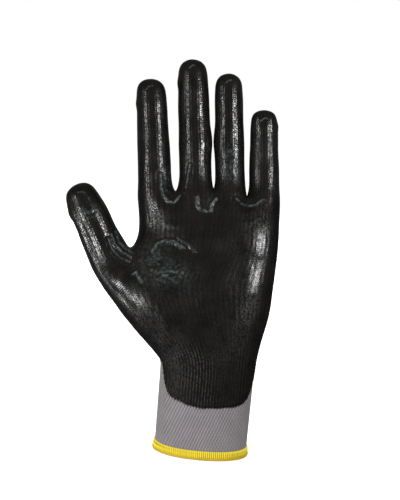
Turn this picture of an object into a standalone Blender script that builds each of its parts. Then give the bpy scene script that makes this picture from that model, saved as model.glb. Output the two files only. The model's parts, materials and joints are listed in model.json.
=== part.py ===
"""Seamless-knit work glove with a palm-dipped coating: left hand, in the shape it takes when worn.

The cuff stands on its hem, with +Z along the cuff's axis, and the hand leans a little from it. The palm
faces -Y and the thumb is at -X. Every layer is cut from one smooth skin, which is the outer face of the
knitted liner. Each body is a stretch of that skin between two fold lines, thickened inwards for the liner
and outwards for the coating. Lengths are in metres. In the hand's own frame x runs to the little finger, y
to the back and z to the fingertips.
"""

import math
from collections import namedtuple

import bmesh
import bpy
from mathutils import Matrix, Vector

MM = 0.001

# Fabric
LINER_THICKNESS = 0.9 * MM
COAT_THICKNESS = 0.5 * MM
LAYER_GAP = 0.3 * MM

# Cuff and wrist
WRIST_HEIGHT = 61 * MM
CUFF_HALF_WIDTH = 29.6 * MM
CUFF_HALF_DEPTH = 22.5 * MM
WRIST_HALF_WIDTH = 30.2 * MM
WRIST_HALF_DEPTH = 20.0 * MM
HAND_LEAN = math.radians(5)
HAND_TILT_BACK = math.radians(8)
CUFF_RING_HEIGHTS = (1.5 * MM, 27 * MM, 52 * MM)
SECTION_POWER = 2.2

# Hem and elastic
HEM_HEIGHT = 6.5 * MM
HEM_THICKNESS = 1.0 * MM
ELASTIC_RADIUS = 0.35 * MM
ELASTIC_PITCH = 6.0 * MM
ELASTIC_BOTTOM = 10.0 * MM
ELASTIC_TURNS = 5
ELASTIC_SIDES = 5

# Palm rows, wrist to finger roots: side edges, depths to the palm and to the back, and how far the columns
# have moved from even spacing to the spacing of the fingers
Row = namedtuple("Row", "left_x left_z right_x right_z front back finger_share")
PALM_ROWS = (
    Row(-30.5 * MM, 0 * MM, 30.2 * MM, 0 * MM, 19.5 * MM, 19.5 * MM, 0.0),
    Row(-44.6 * MM, 14 * MM, 35.2 * MM, 13 * MM, 19.0 * MM, 18.0 * MM, 0.1),
    Row(-58.6 * MM, 31 * MM, 39.4 * MM, 27 * MM, 17.5 * MM, 16.5 * MM, 0.2),
    Row(-70.0 * MM, 51 * MM, 41.8 * MM, 42 * MM, 16.5 * MM, 16.0 * MM, 0.3),
    Row(-58.0 * MM, 57 * MM, 43.2 * MM, 54 * MM, 15.5 * MM, 15.5 * MM, 0.45),
    Row(-46.4 * MM, 62 * MM, 44.2 * MM, 66 * MM, 15.0 * MM, 15.0 * MM, 0.6),
    Row(-43.8 * MM, 76 * MM, 44.8 * MM, 78 * MM, 14.5 * MM, 14.0 * MM, 0.8),
    Row(-43.9 * MM, 89 * MM, 45.2 * MM, 88 * MM, 13.0 * MM, 13.0 * MM, 1.0),
)
ROW_SHARE = 0.9
THUMB_ROWS = (3, 4, 5)
FRONT_COLUMNS = 9

# Swellings of the palm side: centre, radius and height
Swelling = namedtuple("Swelling", "x z radius height")
SWELLINGS = (
    Swelling(-40 * MM, 34 * MM, 19 * MM, 5.5 * MM),
    Swelling(28 * MM, 28 * MM, 22 * MM, 3.0 * MM),
    Swelling(-2 * MM, 60 * MM, 20 * MM, -2.5 * MM),
)

# Fingers: middle of the root and of the tip, and full widths there
Finger = namedtuple("Finger", "root_x root_z tip_x tip_z width tip_width")
FINGERS = {
    "index": Finger(-33.2 * MM, 104 * MM, -35.9 * MM, 173.6 * MM, 19.4 * MM, 16.4 * MM),
    "middle": Finger(-7.8 * MM, 106 * MM, -9.9 * MM, 186.2 * MM, 18.8 * MM, 16.8 * MM),
    "ring": Finger(13.4 * MM, 105 * MM, 12.6 * MM, 177.0 * MM, 17.0 * MM, 15.6 * MM),
    "little": Finger(34.8 * MM, 101 * MM, 34.6 * MM, 153.8 * MM, 17.6 * MM, 14.4 * MM),
}
ROOT_EDGES = (-43.8 * MM, 44.2 * MM)
CROTCHES = ((-20.2 * MM, 99.6 * MM), (3.1 * MM, 101.6 * MM), (23.6 * MM, 95.2 * MM))
ROOT_SIDE_HEIGHTS = (99 * MM, 95 * MM)
ROOT_COLUMN_DROP = 4 * MM
ROOT_DEPTH = 11.5 * MM
ROOT_EDGE_DEPTH_SHARE = 0.66
ROOT_CROTCH_DEPTH_SHARE = 0.8
ROOT_INSET = 1.5 * MM
ROOT_SIDE_BULGE = 0.6 * MM
FINGER_DEPTH_SHARE = 0.95
FINGER_CURVE = 2.5 * MM
FINGER_RING_SHARES = (0.04, 0.34, 0.67, 0.93)
FINGER_RING_SCALES = (1.0, 1.05, 1.03, 0.89)
CAP_RISE = 2.5 * MM
CORNER_SHARE = 0.74
RING_OVERSIZE = 1.108

# Thumb
THUMB_ROOT = Vector((-59.7 * MM, -4 * MM, 58 * MM))
THUMB_TIP = Vector((-82.4 * MM, -11 * MM, 107.6 * MM))
THUMB_WIDTH = 25.2 * MM
THUMB_TIP_WIDTH = 18.0 * MM
THUMB_DEPTH_SHARE = 0.96
THUMB_RING_SHARES = (0.25, 0.5, 0.75, 0.91)
THUMB_RING_SCALES = (0.95, 0.98, 1.03, 0.88)
THUMB_CAP_SHARE = 1.02

# Folds: heights in the hand's frame unless the name says cuff
CUFF_FOLD_HEIGHT = 47 * MM
TILT_FOLD_HEIGHT = 7 * MM
KNUCKLE_FOLD_HEIGHT = 80 * MM
KNUCKLE_AXIS_DEPTH = -2 * MM
BASE_FOLD_ABOVE_CROTCH = 7.5 * MM
MIDDLE_FOLD_SHARE = 0.40
TIP_FOLD_SHARE = 0.69
FINGER_AXIS_DEPTH = -3.0 * MM
THUMB_BEND_SHARE = 0.16
THUMB_TIP_FOLD_SHARE = 0.53
THUMB_FLEX_TURN = math.radians(20)
THUMB_AXIS_DEPTH = 3.0 * MM
SWING_BOTTOM = Vector((-53 * MM, -5 * MM, 25 * MM))
SWING_TOP = Vector((-45.6 * MM, -3 * MM, 64 * MM))
SWING_LIMIT = 25 * MM
HALF_GAP = 0.25 * MM
WEB_HALF_GAP = 0.7 * MM
FOLD_SLACK = math.radians(2.5)

# How far each fold turns away from its flexing side and towards it, in degrees
TURNS = {
    "wrist_bend": (-30, 35),
    "wrist_tilt": (-15, 15),
    "knuckle_fold": (0, 30),
    "base": (-5, 50),
    "middle": (0, 75),
    "tip": (0, 45),
    "thumb_swing": (-10, 30),
    "thumb_bend": (0, 20),
    "thumb_tip": (0, 40),
}

# Coating: how far it wraps round the sides, and where it closes round the fingertips and on the cuff
COAT_WRAP = 3.0 * MM
COAT_TIP_LENGTH = 13 * MM
COAT_TIP_SLOPE = math.radians(35)
CUFF_COAT_BOTTOM = 29 * MM
CUFF_COAT_CORNER = Vector((20 * MM, 0, 33 * MM))
CUFF_COAT_CORNER_SLOPE = math.radians(50)

# Centre of the cuff's opening, which puts the middle of the whole glove's footprint at the origin
CUFF_CENTRE = Vector((29.12 * MM, -3.07 * MM, 0))

# Mesh
SPLIT_TOLERANCE = 0.001 * MM
WELD_DISTANCE = 0.02 * MM
MERGE_ANGLE = math.radians(3)
SHARP_ANGLE = math.radians(35)

BLACK_COATING = (0.012, 0.011, 0.010, 1)
GREY_KNIT = (0.20, 0.18, 0.19, 1)
YELLOW_THREAD = (0.78, 0.62, 0.02, 1)
WHITE_RUBBER = (0.6, 0.58, 0.52, 1)
COATING_ROUGHNESS = 0.35
KNIT_ROUGHNESS = 0.9
THREAD_ROUGHNESS = 0.8
RUBBER_ROUGHNESS = 0.6

TRUNK = 0
THUMB_ZONE = 5
HAND_FRAME = (
    Matrix.Translation((0, 0, WRIST_HEIGHT)) @ Matrix.Rotation(-HAND_LEAN, 4, "Y")
    @ Matrix.Rotation(-HAND_TILT_BACK, 4, "X")
)


def blend(low, high, share):
    return low + (high - low) * share


def section_depth(across):
    """Depth of the hand's section, as a share, at a place across it from -1 to 1."""
    return max(0.0, 1 - abs(across) ** SECTION_POWER) ** (1 / SECTION_POWER)


def even_columns():
    return [blend(-ROW_SHARE, ROW_SHARE, j / (FRONT_COLUMNS - 1)) for j in range(FRONT_COLUMNS)]


def root_positions():
    """The x of the nine columns at the finger roots: edges, finger middles and crotches in turn."""
    middles = [finger.root_x for finger in FINGERS.values()]
    bounds = [ROOT_EDGES[0]] + [crotch[0] for crotch in CROTCHES] + [ROOT_EDGES[1]]
    columns = [bounds[0]]
    for middle, bound in zip(middles, bounds[1:]):
        columns += [middle, bound]
    return columns


def root_columns():
    centre = (ROOT_EDGES[0] + ROOT_EDGES[1]) / 2
    half = (ROOT_EDGES[1] - ROOT_EDGES[0]) / 2
    return [ROW_SHARE * (x - centre) / half for x in root_positions()]


def swelling_depth(x, z):
    total = 0.0
    for item in SWELLINGS:
        distance = math.hypot(x - item.x, z - item.z)
        total += item.height * math.exp(-((distance / item.radius) ** 2))
    return total


class Skin:
    """Control mesh of the glove's outer face: vertices, faces and the zone of each face."""

    def __init__(self):
        self.points = []
        self.faces = []
        self.zones = []

    def add(self, point):
        self.points.append(Vector(point))
        return len(self.points) - 1

    def face(self, corners, zone):
        self.faces.append(corners)
        self.zones.append(zone)

    def bridge(self, lower, upper, zone):
        for i in range(len(lower)):
            j = (i + 1) % len(lower)
            self.face((lower[i], lower[j], upper[j], upper[i]), zone)

    def cap(self, ring, centre, zone):
        middle = self.add(centre)
        for i in range(0, len(ring), 2):
            self.face((ring[i], ring[i + 1], ring[(i + 2) % len(ring)], middle), zone)


def full_ring(front, back, left, right):
    """Order one row as a closed ring: left side, front columns, right side, back columns in reverse."""
    return [left] + front + [right] + back[::-1]


def cuff_ring(skin, height):
    share = height / WRIST_HEIGHT
    half_width = blend(CUFF_HALF_WIDTH, WRIST_HALF_WIDTH, share)
    half_depth = blend(CUFF_HALF_DEPTH, WRIST_HALF_DEPTH, share)
    front = []
    back = []
    for across in even_columns():
        depth = half_depth * section_depth(across)
        front.append(skin.add((half_width * across, -depth, height)))
        back.append(skin.add((half_width * across, depth, height)))
    left = skin.add((-half_width, 0, height))
    right = skin.add((half_width, 0, height))
    return full_ring(front, back, left, right)


def palm_ring(skin, row, thumb_ring):
    """One row of the palm; thumb_ring gives the places where the row meets the thumb's root, if it does."""
    half_width = (row.right_x - row.left_x) / 2
    centre = (row.right_x + row.left_x) / 2
    front = []
    back = []
    for even, rooted in zip(even_columns(), root_columns()):
        across = blend(even, rooted, row.finger_share)
        x = centre + half_width * across
        z = blend(row.left_z, row.right_z, (across + 1) / 2)
        depth = section_depth(across)
        front.append(Vector((x, -row.front * depth - swelling_depth(x, z) * depth, z)))
        back.append(Vector((x, row.back * depth, z)))
    left = Vector((row.left_x, 0, row.left_z))
    if thumb_ring:
        left, front[0], back[0] = thumb_ring
    front = [skin.add(HAND_FRAME @ point) for point in front]
    back = [skin.add(HAND_FRAME @ point) for point in back]
    left_index = None if left is None else skin.add(HAND_FRAME @ left)
    right_index = skin.add(HAND_FRAME @ Vector((row.right_x, 0, row.right_z)))
    return full_ring(front, back, left_index, right_index)


def ring_offsets(half_width, half_depth):
    """The eight offsets of a digit's ring: side, front, other side and back, with the corners between."""
    corner_x = half_width * CORNER_SHARE
    corner_y = half_depth * CORNER_SHARE
    return (
        (-half_width, 0), (-corner_x, -corner_y), (0, -half_depth), (corner_x, -corner_y),
        (half_width, 0), (corner_x, corner_y), (0, half_depth), (-corner_x, corner_y),
    )


def thumb_axes():
    along = (THUMB_TIP - THUMB_ROOT).normalized()
    to_web = Vector((along.z, 0, -along.x)).normalized()
    front = to_web.cross(along).normalized()
    return along, to_web, front


def thumb_frame_point(along_share, side, depth):
    """A point on the thumb: share of its length, distance to the web side and distance to the back."""
    along, to_web, front = thumb_axes()
    point = THUMB_ROOT + (THUMB_TIP - THUMB_ROOT) * along_share
    return point + to_web * side - front * depth


def thumb_root_rows():
    """Thumb-root places for the three rows that meet it, as left side, front and back."""
    half = THUMB_WIDTH / 2 * RING_OVERSIZE
    offsets = [thumb_frame_point(0, *pair) for pair in ring_offsets(half, half * THUMB_DEPTH_SHARE)]
    outer, outer_front, front, web_front, web, web_back, back, outer_back = offsets
    return ((outer, outer_front, outer_back), (None, front, back), (web, web_front, web_back))


def bridge_rows(skin, lower, upper):
    """Join two rows of the trunk, leaving out the faces that the thumb's opening takes."""
    for i in range(len(lower)):
        j = (i + 1) % len(lower)
        corners = (lower[i], lower[j], upper[j], upper[i])
        if None not in corners:
            skin.face(corners, TRUNK)


def root_row(skin):
    """The row at the finger roots, with a middle point in each crotch."""
    front = []
    back = []
    heights = [ROOT_SIDE_HEIGHTS[0]]
    for finger, crotch in zip(FINGERS.values(), CROTCHES + (None,)):
        heights += [finger.root_z - ROOT_COLUMN_DROP, crotch[1] if crotch else ROOT_SIDE_HEIGHTS[1]]
    for column, (x, z) in enumerate(zip(root_positions(), heights)):
        at_edge = column in (0, FRONT_COLUMNS - 1)
        at_crotch = column % 2 == 0
        share = ROOT_EDGE_DEPTH_SHARE if at_edge else ROOT_CROTCH_DEPTH_SHARE if at_crotch else 1
        depth = ROOT_DEPTH * share
        inset = ROOT_INSET if column == 0 else -ROOT_INSET if at_edge else 0
        front.append(skin.add(HAND_FRAME @ Vector((x + inset, -depth, z))))
        back.append(skin.add(HAND_FRAME @ Vector((x + inset, depth, z))))
    left = skin.add(HAND_FRAME @ Vector((ROOT_EDGES[0] - ROOT_SIDE_BULGE, 0, ROOT_SIDE_HEIGHTS[0])))
    right = skin.add(HAND_FRAME @ Vector((ROOT_EDGES[1] + ROOT_SIDE_BULGE, 0, ROOT_SIDE_HEIGHTS[1])))
    middles = [skin.add(HAND_FRAME @ Vector((x, 0, z))) for x, z in CROTCHES]
    return front, back, [left] + middles + [right]


def finger_point(finger, share):
    """Centre of the finger's section at a share of its length from root to tip."""
    x = blend(finger.root_x, finger.tip_x, share)
    y = -FINGER_CURVE * share ** 2
    return Vector((x, y, blend(finger.root_z, finger.tip_z, share)))


def add_finger(skin, finger, root, zone):
    ring = root
    for share, scale in zip(FINGER_RING_SHARES, FINGER_RING_SCALES):
        half = blend(finger.width, finger.tip_width, share) / 2 * RING_OVERSIZE * scale
        centre = finger_point(finger, share)
        offsets = ring_offsets(half, half * FINGER_DEPTH_SHARE)
        upper = [skin.add(HAND_FRAME @ (centre + Vector((x, y, 0)))) for x, y in offsets]
        skin.bridge(ring, upper, zone)
        ring = upper
    skin.cap(ring, HAND_FRAME @ (finger_point(finger, 1) + Vector((0, 0, CAP_RISE))), zone)


def add_thumb(skin, root):
    ring = root
    for share, scale in zip(THUMB_RING_SHARES, THUMB_RING_SCALES):
        half = blend(THUMB_WIDTH, THUMB_TIP_WIDTH, share) / 2 * RING_OVERSIZE * scale
        offsets = ring_offsets(half, half * THUMB_DEPTH_SHARE)
        upper = [skin.add(HAND_FRAME @ thumb_frame_point(share, x, y)) for x, y in offsets]
        skin.bridge(ring, upper, THUMB_ZONE)
        ring = upper
    skin.cap(ring, HAND_FRAME @ thumb_frame_point(THUMB_CAP_SHARE, 0, 0), THUMB_ZONE)


def glove_skin():
    skin = Skin()
    rings = [cuff_ring(skin, height) for height in CUFF_RING_HEIGHTS]
    thumb_rows = dict(zip(THUMB_ROWS, thumb_root_rows()))
    for number, row in enumerate(PALM_ROWS):
        rings.append(palm_ring(skin, row, thumb_rows.get(number)))
    front, back, middles = root_row(skin)
    rings.append(full_ring(front, back, middles[0], middles[-1]))
    for lower, upper in zip(rings, rings[1:]):
        bridge_rows(skin, lower, upper)
    for number, finger in enumerate(FINGERS.values()):
        left = 2 * number
        root = [
            middles[number], front[left], front[left + 1], front[left + 2],
            middles[number + 1], back[left + 2], back[left + 1], back[left],
        ]
        add_finger(skin, finger, root, number + 1)
    low, middle, top = [rings[len(CUFF_RING_HEIGHTS) + number] for number in THUMB_ROWS]
    add_thumb(skin, [low[0], low[1], middle[1], top[1], top[0], top[-1], middle[-1], low[-1]])
    return skin


# One fold between two bodies: the frame's x is the hinge, y points away from the flexing side and z runs
# from the parent to the child; low and high are how far it turns each way; limit, if any, is how far the
# fold runs along the hinge from the centre
Fold = namedtuple("Fold", "frame low high limit")


def fold_frame(centre, along, flex):
    """Frame of a fold from its centre, the way to the child and the side it flexes to."""
    along = along.normalized()
    hinge = along.cross(flex).normalized()
    rows = Matrix((hinge, along.cross(hinge), along)).transposed().to_4x4()
    rows.translation = centre
    return rows


def make_fold(frame, turns, limit=None):
    low, high = turns
    return Fold(frame, math.radians(low), math.radians(high), limit)


def hand_fold(centre, along, flex, turns, limit=None):
    return make_fold(HAND_FRAME @ fold_frame(centre, along, flex), turns, limit)


def finger_folds(folds):
    up = Vector((0, 0, 1))
    palmward = Vector((0, -1, 0))
    crotch_heights = [height for x, height in CROTCHES]
    beside = ((0,), (0, 1), (1, 2), (2,))
    for (name, finger), sides in zip(FINGERS.items(), beside):
        base = max(crotch_heights[side] for side in sides) + BASE_FOLD_ABOVE_CROTCH
        heights = [base]
        for share in (MIDDLE_FOLD_SHARE, TIP_FOLD_SHARE):
            heights.append(blend(finger.root_z, finger.tip_z, share))
        for part, height in zip(("base", "middle", "tip"), heights):
            share = (height - finger.root_z) / (finger.tip_z - finger.root_z)
            centre = finger_point(finger, share) + Vector((0, FINGER_AXIS_DEPTH, 0))
            folds[f"{name}_{part}"] = hand_fold(centre, up, palmward, TURNS[part])


def thumb_folds(folds):
    along, to_web, front = thumb_axes()
    flex = front * math.cos(THUMB_FLEX_TURN) + to_web * math.sin(THUMB_FLEX_TURN)
    for name, share in (("thumb_bend", THUMB_BEND_SHARE), ("thumb_tip", THUMB_TIP_FOLD_SHARE)):
        centre = THUMB_ROOT + (THUMB_TIP - THUMB_ROOT) * share + flex * THUMB_AXIS_DEPTH
        folds[name] = hand_fold(centre, along, flex, TURNS[name])
    rise = SWING_TOP - SWING_BOTTOM
    outward = Vector((0, -1, 0)).cross(rise)
    middle = (SWING_TOP + SWING_BOTTOM) / 2
    palmward = rise.cross(outward)
    folds["thumb_swing"] = hand_fold(middle, outward, palmward, TURNS["thumb_swing"], SWING_LIMIT)


def glove_folds():
    up = Vector((0, 0, 1))
    palmward = Vector((0, -1, 0))
    bend_frame = fold_frame(Vector((0, 0, CUFF_FOLD_HEIGHT)), up, palmward)
    folds = {"wrist_bend": make_fold(bend_frame, TURNS["wrist_bend"])}
    tilt_centre = Vector((0, 0, TILT_FOLD_HEIGHT))
    folds["wrist_tilt"] = hand_fold(tilt_centre, up, Vector((-1, 0, 0)), TURNS["wrist_tilt"])
    knuckle_centre = Vector((0, KNUCKLE_AXIS_DEPTH, KNUCKLE_FOLD_HEIGHT))
    folds["knuckle_fold"] = hand_fold(knuckle_centre, up, palmward, TURNS["knuckle_fold"])
    finger_folds(folds)
    thumb_folds(folds)
    return folds


def fold_planes(fold, is_child):
    """Point and normal, towards the body, of the planes that end it on the flexing side and on the other."""
    side = 1 if is_child else -1
    for reach, tilt in ((fold.high, 1), (-fold.low, -1)):
        slope = math.tan(reach / 2 + FOLD_SLACK)
        normal = (fold.frame.to_3x3() @ Vector((0, tilt * slope, side))).normalized()
        yield fold.frame.translation + normal * HALF_GAP, normal


def body_plan():
    """Zones of the skin in each body, with the folds that end it as (fold, is it the child) pairs."""
    plan = {
        "cuff": {TRUNK: [("wrist_bend", False)]},
        "wrist": {TRUNK: [("wrist_bend", True), ("wrist_tilt", False)]},
        "palm": {TRUNK: [("wrist_tilt", True), ("knuckle_fold", False), ("thumb_swing", False)]},
        "knuckles": {TRUNK: [("knuckle_fold", True)]},
    }
    for number, name in enumerate(FINGERS, start=1):
        base, middle, tip = f"{name}_base", f"{name}_middle", f"{name}_tip"
        plan["knuckles"][number] = [(base, False)]
        plan[f"{name}_proximal"] = {number: [(base, True), (middle, False)]}
        plan[f"{name}_middle"] = {number: [(middle, True), (tip, False)]}
        plan[f"{name}_distal"] = {number: [(tip, True)]}
    plan["thumb_root"] = {TRUNK: [("thumb_swing", True)], THUMB_ZONE: [("thumb_bend", False)]}
    plan["thumb_proximal"] = {THUMB_ZONE: [("thumb_bend", True), ("thumb_tip", False)]}
    plan["thumb_distal"] = {THUMB_ZONE: [("thumb_tip", True)]}
    return plan


def skin_mesh():
    """The smooth skin in flat triangles, so that every layer cut from it folds along the same edges."""
    skin = glove_skin()
    mesh = bpy.data.meshes.new("skin")
    mesh.from_pydata(skin.points, [], skin.faces)
    mesh.polygons.foreach_set("material_index", skin.zones)
    carrier = bpy.data.objects.new("skin", mesh)
    bpy.context.scene.collection.objects.link(carrier)
    smoothing = carrier.modifiers.new("smoothing", "SUBSURF")
    smoothing.levels = 1
    smoothing.render_levels = 1
    graph = bpy.context.evaluated_depsgraph_get()
    bm = bmesh.new()
    bm.from_mesh(carrier.evaluated_get(graph).to_mesh())
    bpy.data.objects.remove(carrier)
    bpy.data.meshes.remove(mesh)
    bmesh.ops.triangulate(bm, faces=bm.faces)
    bm.normal_update()
    outward = bm.verts.layers.float_vector.new("outward")
    for vert in bm.verts:
        vert[outward] = vert.normal
    return bm


def split_zone(bm, zone, point, normal):
    faces = [face for face in bm.faces if face.material_index == zone]
    edges = {edge for face in faces for edge in face.edges}
    verts = {vert for face in faces for vert in face.verts}
    geometry = [*verts, *edges, *faces]
    bmesh.ops.bisect_plane(bm, geom=geometry, dist=SPLIT_TOLERANCE, plane_co=point, plane_no=normal)


def trim_zone(bm, zone, planes, spared=()):
    """Cut a zone at the planes and drop what is behind any of them, unless it is before a spared plane."""
    for point, normal in [*planes, *spared]:
        split_zone(bm, zone, point, normal)
    doomed = []
    for face in bm.faces:
        centre = face.calc_center_median()
        behind = any((centre - point).dot(normal) < 0 for point, normal in planes)
        safe = any((centre - point).dot(normal) > 0 for point, normal in spared)
        if face.material_index == zone and behind and not safe:
            doomed.append(face)
    bmesh.ops.delete(bm, geom=doomed, context="FACES")


def limit_plane(fold, side):
    """Plane square to the hinge that ends a fold at a distance along it from the fold's centre."""
    along_hinge = fold.frame.to_3x3() @ Vector((1, 0, 0))
    return fold.frame.translation + along_hinge * (fold.limit + side * WEB_HALF_GAP), along_hinge * side


def body_skin(skin, zones, folds):
    """The stretch of skin that belongs to one body."""
    bm = skin.copy()
    others = [face for face in bm.faces if face.material_index not in zones]
    bmesh.ops.delete(bm, geom=others, context="FACES")
    for zone, ends in zones.items():
        for name, is_child in ends:
            fold = folds[name]
            planes = list(fold_planes(fold, is_child))
            spared = []
            if fold.limit and is_child:
                planes.append(limit_plane(fold, -1))
            elif fold.limit:
                spared.append(limit_plane(fold, 1))
            trim_zone(bm, zone, planes, spared)
    return bm


def coat_back_plane(zone):
    """Plane that the coating does not pass on its way round to the back."""
    if zone == THUMB_ZONE:
        front = thumb_axes()[2]
        point = THUMB_ROOT + Vector((0, COAT_WRAP - THUMB_ROOT.y, 0))
    else:
        front = Vector((0, -1, 0))
        point = Vector((0, COAT_WRAP, 0))
    return HAND_FRAME @ point, HAND_FRAME.to_3x3() @ front


def coat_tip_plane(zone):
    """Slanting plane above which the coating closes all the way round a digit's end."""
    if zone == THUMB_ZONE:
        along, _, front = thumb_axes()
        tip = THUMB_TIP
    else:
        finger = list(FINGERS.values())[zone - 1]
        along, front = Vector((0, 0, 1)), Vector((0, -1, 0))
        tip = finger_point(finger, 1)
    normal = along * math.cos(COAT_TIP_SLOPE) + front * math.sin(COAT_TIP_SLOPE)
    return HAND_FRAME @ (tip - along * COAT_TIP_LENGTH), HAND_FRAME.to_3x3() @ normal


def cuff_coat_planes():
    """Lower edge of the coating: level across the cuff's palm side, with a sloping cut at each corner."""
    yield Vector((0, 0, CUFF_COAT_BOTTOM)), Vector((0, 0, 1))
    for side in (-1, 1):
        corner = Vector((side * CUFF_COAT_CORNER.x, 0, CUFF_COAT_CORNER.z))
        yield corner, Vector((-side * math.sin(CUFF_COAT_CORNER_SLOPE), 0, math.cos(CUFF_COAT_CORNER_SLOPE)))


def coat_skin(bm, zones):
    """Keep the part of a body's skin that the coating covers."""
    for zone in zones:
        spared = [] if zone == TRUNK else [coat_tip_plane(zone)]
        trim_zone(bm, zone, [coat_back_plane(zone)], spared)
    if TRUNK in zones:
        trim_zone(bm, TRUNK, list(cuff_coat_planes()))
    return bm


def tidy_sheet(bm):
    """Weld slivers and merge triangles that lie almost in one plane."""
    bmesh.ops.remove_doubles(bm, verts=bm.verts, dist=WELD_DISTANCE)
    bmesh.ops.dissolve_limit(bm, angle_limit=MERGE_ANGLE, verts=bm.verts, edges=bm.edges)
    bmesh.ops.triangulate(bm, faces=bm.faces)


def shell(bm, inner, outer):
    """Closed sheet between two distances out from the skin, as vertices and faces."""
    tidy_sheet(bm)
    outward = bm.verts.layers.float_vector["outward"]
    bm.verts.index_update()
    count = len(bm.verts)
    points = []
    for distance in (inner, outer):
        points += [vert.co + vert[outward].normalized() * distance for vert in bm.verts]
    faces = []
    for face in bm.faces:
        corners = [vert.index for vert in face.verts]
        faces.append([corner + count for corner in corners])
        faces.append(corners[::-1])
    for edge in bm.edges:
        if len(edge.link_loops) == 1:
            loop = edge.link_loops[0]
            start, end = loop.vert.index, loop.link_loop_next.vert.index
            faces.append((end + count, start + count, start, end))
    return points, faces


def add_node(name, points, faces, colour, roughness, origin):
    """Make one named object from points and faces, with its origin on the joint that moves it."""
    mesh = bpy.data.meshes.new(name)
    mesh.from_pydata([point - origin for point in points], [], faces)
    mesh.validate()
    mesh.shade_smooth()
    mesh.set_sharp_from_angle(angle=SHARP_ANGLE)
    material = bpy.data.materials.new(name)
    material.use_nodes = True
    shader = material.node_tree.nodes["Principled BSDF"]
    shader.inputs["Base Color"].default_value = colour
    shader.inputs["Roughness"].default_value = roughness
    material.diffuse_color = colour
    mesh.materials.append(material)
    node = bpy.data.objects.new(name, mesh)
    node.location = origin + CUFF_CENTRE
    bpy.context.scene.collection.objects.link(node)


def hem_loop(skin):
    """The skin's lower border in order, as points and outward directions."""
    outward = skin.verts.layers.float_vector["outward"]
    border = [edge for edge in skin.edges if edge.is_boundary]
    start = border[0].link_loops[0]
    first = start.vert
    vert = first
    edge = border[0]
    ordered = []
    while not ordered or vert != first:
        ordered.append((vert.co.copy(), Vector((vert[outward].x, vert[outward].y, 0)).normalized()))
        vert = edge.other_vert(vert)
        edge = next(other for other in vert.link_edges if other.is_boundary and other != edge)
    return ordered


def sweep(sections, closed):
    """Faces that join equal rings of points one after another."""
    sides = len(sections[0])
    points = [point for section in sections for point in section]
    faces = []
    for i in range(len(sections) if closed else len(sections) - 1):
        j = (i + 1) % len(sections)
        for k in range(sides):
            n = (k + 1) % sides
            faces.append((i * sides + k, i * sides + n, j * sides + n, j * sides + k))
    if not closed:
        faces.append(tuple(range(sides))[::-1])
        faces.append(tuple(range(len(points) - sides, len(points))))
    return points, faces


def facing_out(points, faces):
    """The same solid with every face turned outwards."""
    bm = bmesh.new()
    corners = [bm.verts.new(point) for point in points]
    for face in faces:
        bm.faces.new([corners[i] for i in face])
    bmesh.ops.recalc_face_normals(bm, faces=bm.faces)
    bm.verts.index_update()
    turned = [[vert.index for vert in face.verts] for face in bm.faces]
    bm.free()
    return turned


def make_hem(skin):
    """Yellow overlock binding: a channel that holds the cuff's lower edge."""
    outer = LAYER_GAP
    inner = -LINER_THICKNESS - LAYER_GAP
    profile = (
        (outer + HEM_THICKNESS, 0), (outer + HEM_THICKNESS, HEM_HEIGHT), (outer, HEM_HEIGHT),
        (outer, HEM_THICKNESS), (inner, HEM_THICKNESS), (inner, HEM_HEIGHT),
        (inner - HEM_THICKNESS, HEM_HEIGHT), (inner - HEM_THICKNESS, 0),
    )
    sections = []
    for point, outward in hem_loop(skin):
        flat = Vector((point.x, point.y, 0))
        sections.append([flat + outward * offset + Vector((0, 0, height)) for offset, height in profile])
    points, faces = sweep(sections, closed=True)
    add_node("cuff_hem", points, facing_out(points, faces), YELLOW_THREAD, THREAD_ROUGHNESS, Vector())


def make_elastic(skin):
    """Rubber yarn laid round the inside of the cuff as one continuous spiral."""
    loop = hem_loop(skin)
    reach = LINER_THICKNESS + LAYER_GAP + ELASTIC_RADIUS
    sections = []
    for step in range(ELASTIC_TURNS * len(loop) + 1):
        point, outward = loop[step % len(loop)]
        height = ELASTIC_BOTTOM + ELASTIC_PITCH * step / len(loop)
        share = height / WRIST_HEIGHT
        narrowing = Vector((
            blend(CUFF_HALF_WIDTH, WRIST_HALF_WIDTH, share) / CUFF_HALF_WIDTH,
            blend(CUFF_HALF_DEPTH, WRIST_HALF_DEPTH, share) / CUFF_HALF_DEPTH,
            0,
        ))
        centre = Vector((point.x * narrowing.x, point.y * narrowing.y, height)) - outward * reach
        section = []
        for side in range(ELASTIC_SIDES):
            angle = math.tau * side / ELASTIC_SIDES
            rise = Vector((0, 0, math.sin(angle)))
            section.append(centre + (outward * math.cos(angle) + rise) * ELASTIC_RADIUS)
        sections.append(section)
    points, faces = sweep(sections, closed=False)
    add_node("cuff_elastic", points, facing_out(points, faces), WHITE_RUBBER, RUBBER_ROUGHNESS, Vector())


def make_body(skin, name, zones, folds):
    """Liner and coating of one body, with their origins on the fold it hangs from."""
    origin = Vector()
    for ends in zones.values():
        origin = next((folds[fold].frame.translation for fold, is_child in ends if is_child), origin)
    knit = body_skin(skin, zones, folds)
    coated = coat_skin(knit.copy(), zones)
    points, faces = shell(knit, -LINER_THICKNESS, 0)
    add_node(f"{name}_liner", points, faces, GREY_KNIT, KNIT_ROUGHNESS, origin)
    points, faces = shell(coated, LAYER_GAP, LAYER_GAP + COAT_THICKNESS)
    add_node(f"{name}_coat", points, faces, BLACK_COATING, COATING_ROUGHNESS, origin)
    knit.free()
    coated.free()


def build_glove():
    for obj in list(bpy.data.objects):
        bpy.data.objects.remove(obj)
    skin = skin_mesh()
    folds = glove_folds()
    for name, zones in body_plan().items():
        make_body(skin, name, zones, folds)
    make_hem(skin)
    make_elastic(skin)
    skin.free()


build_glove()
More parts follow.
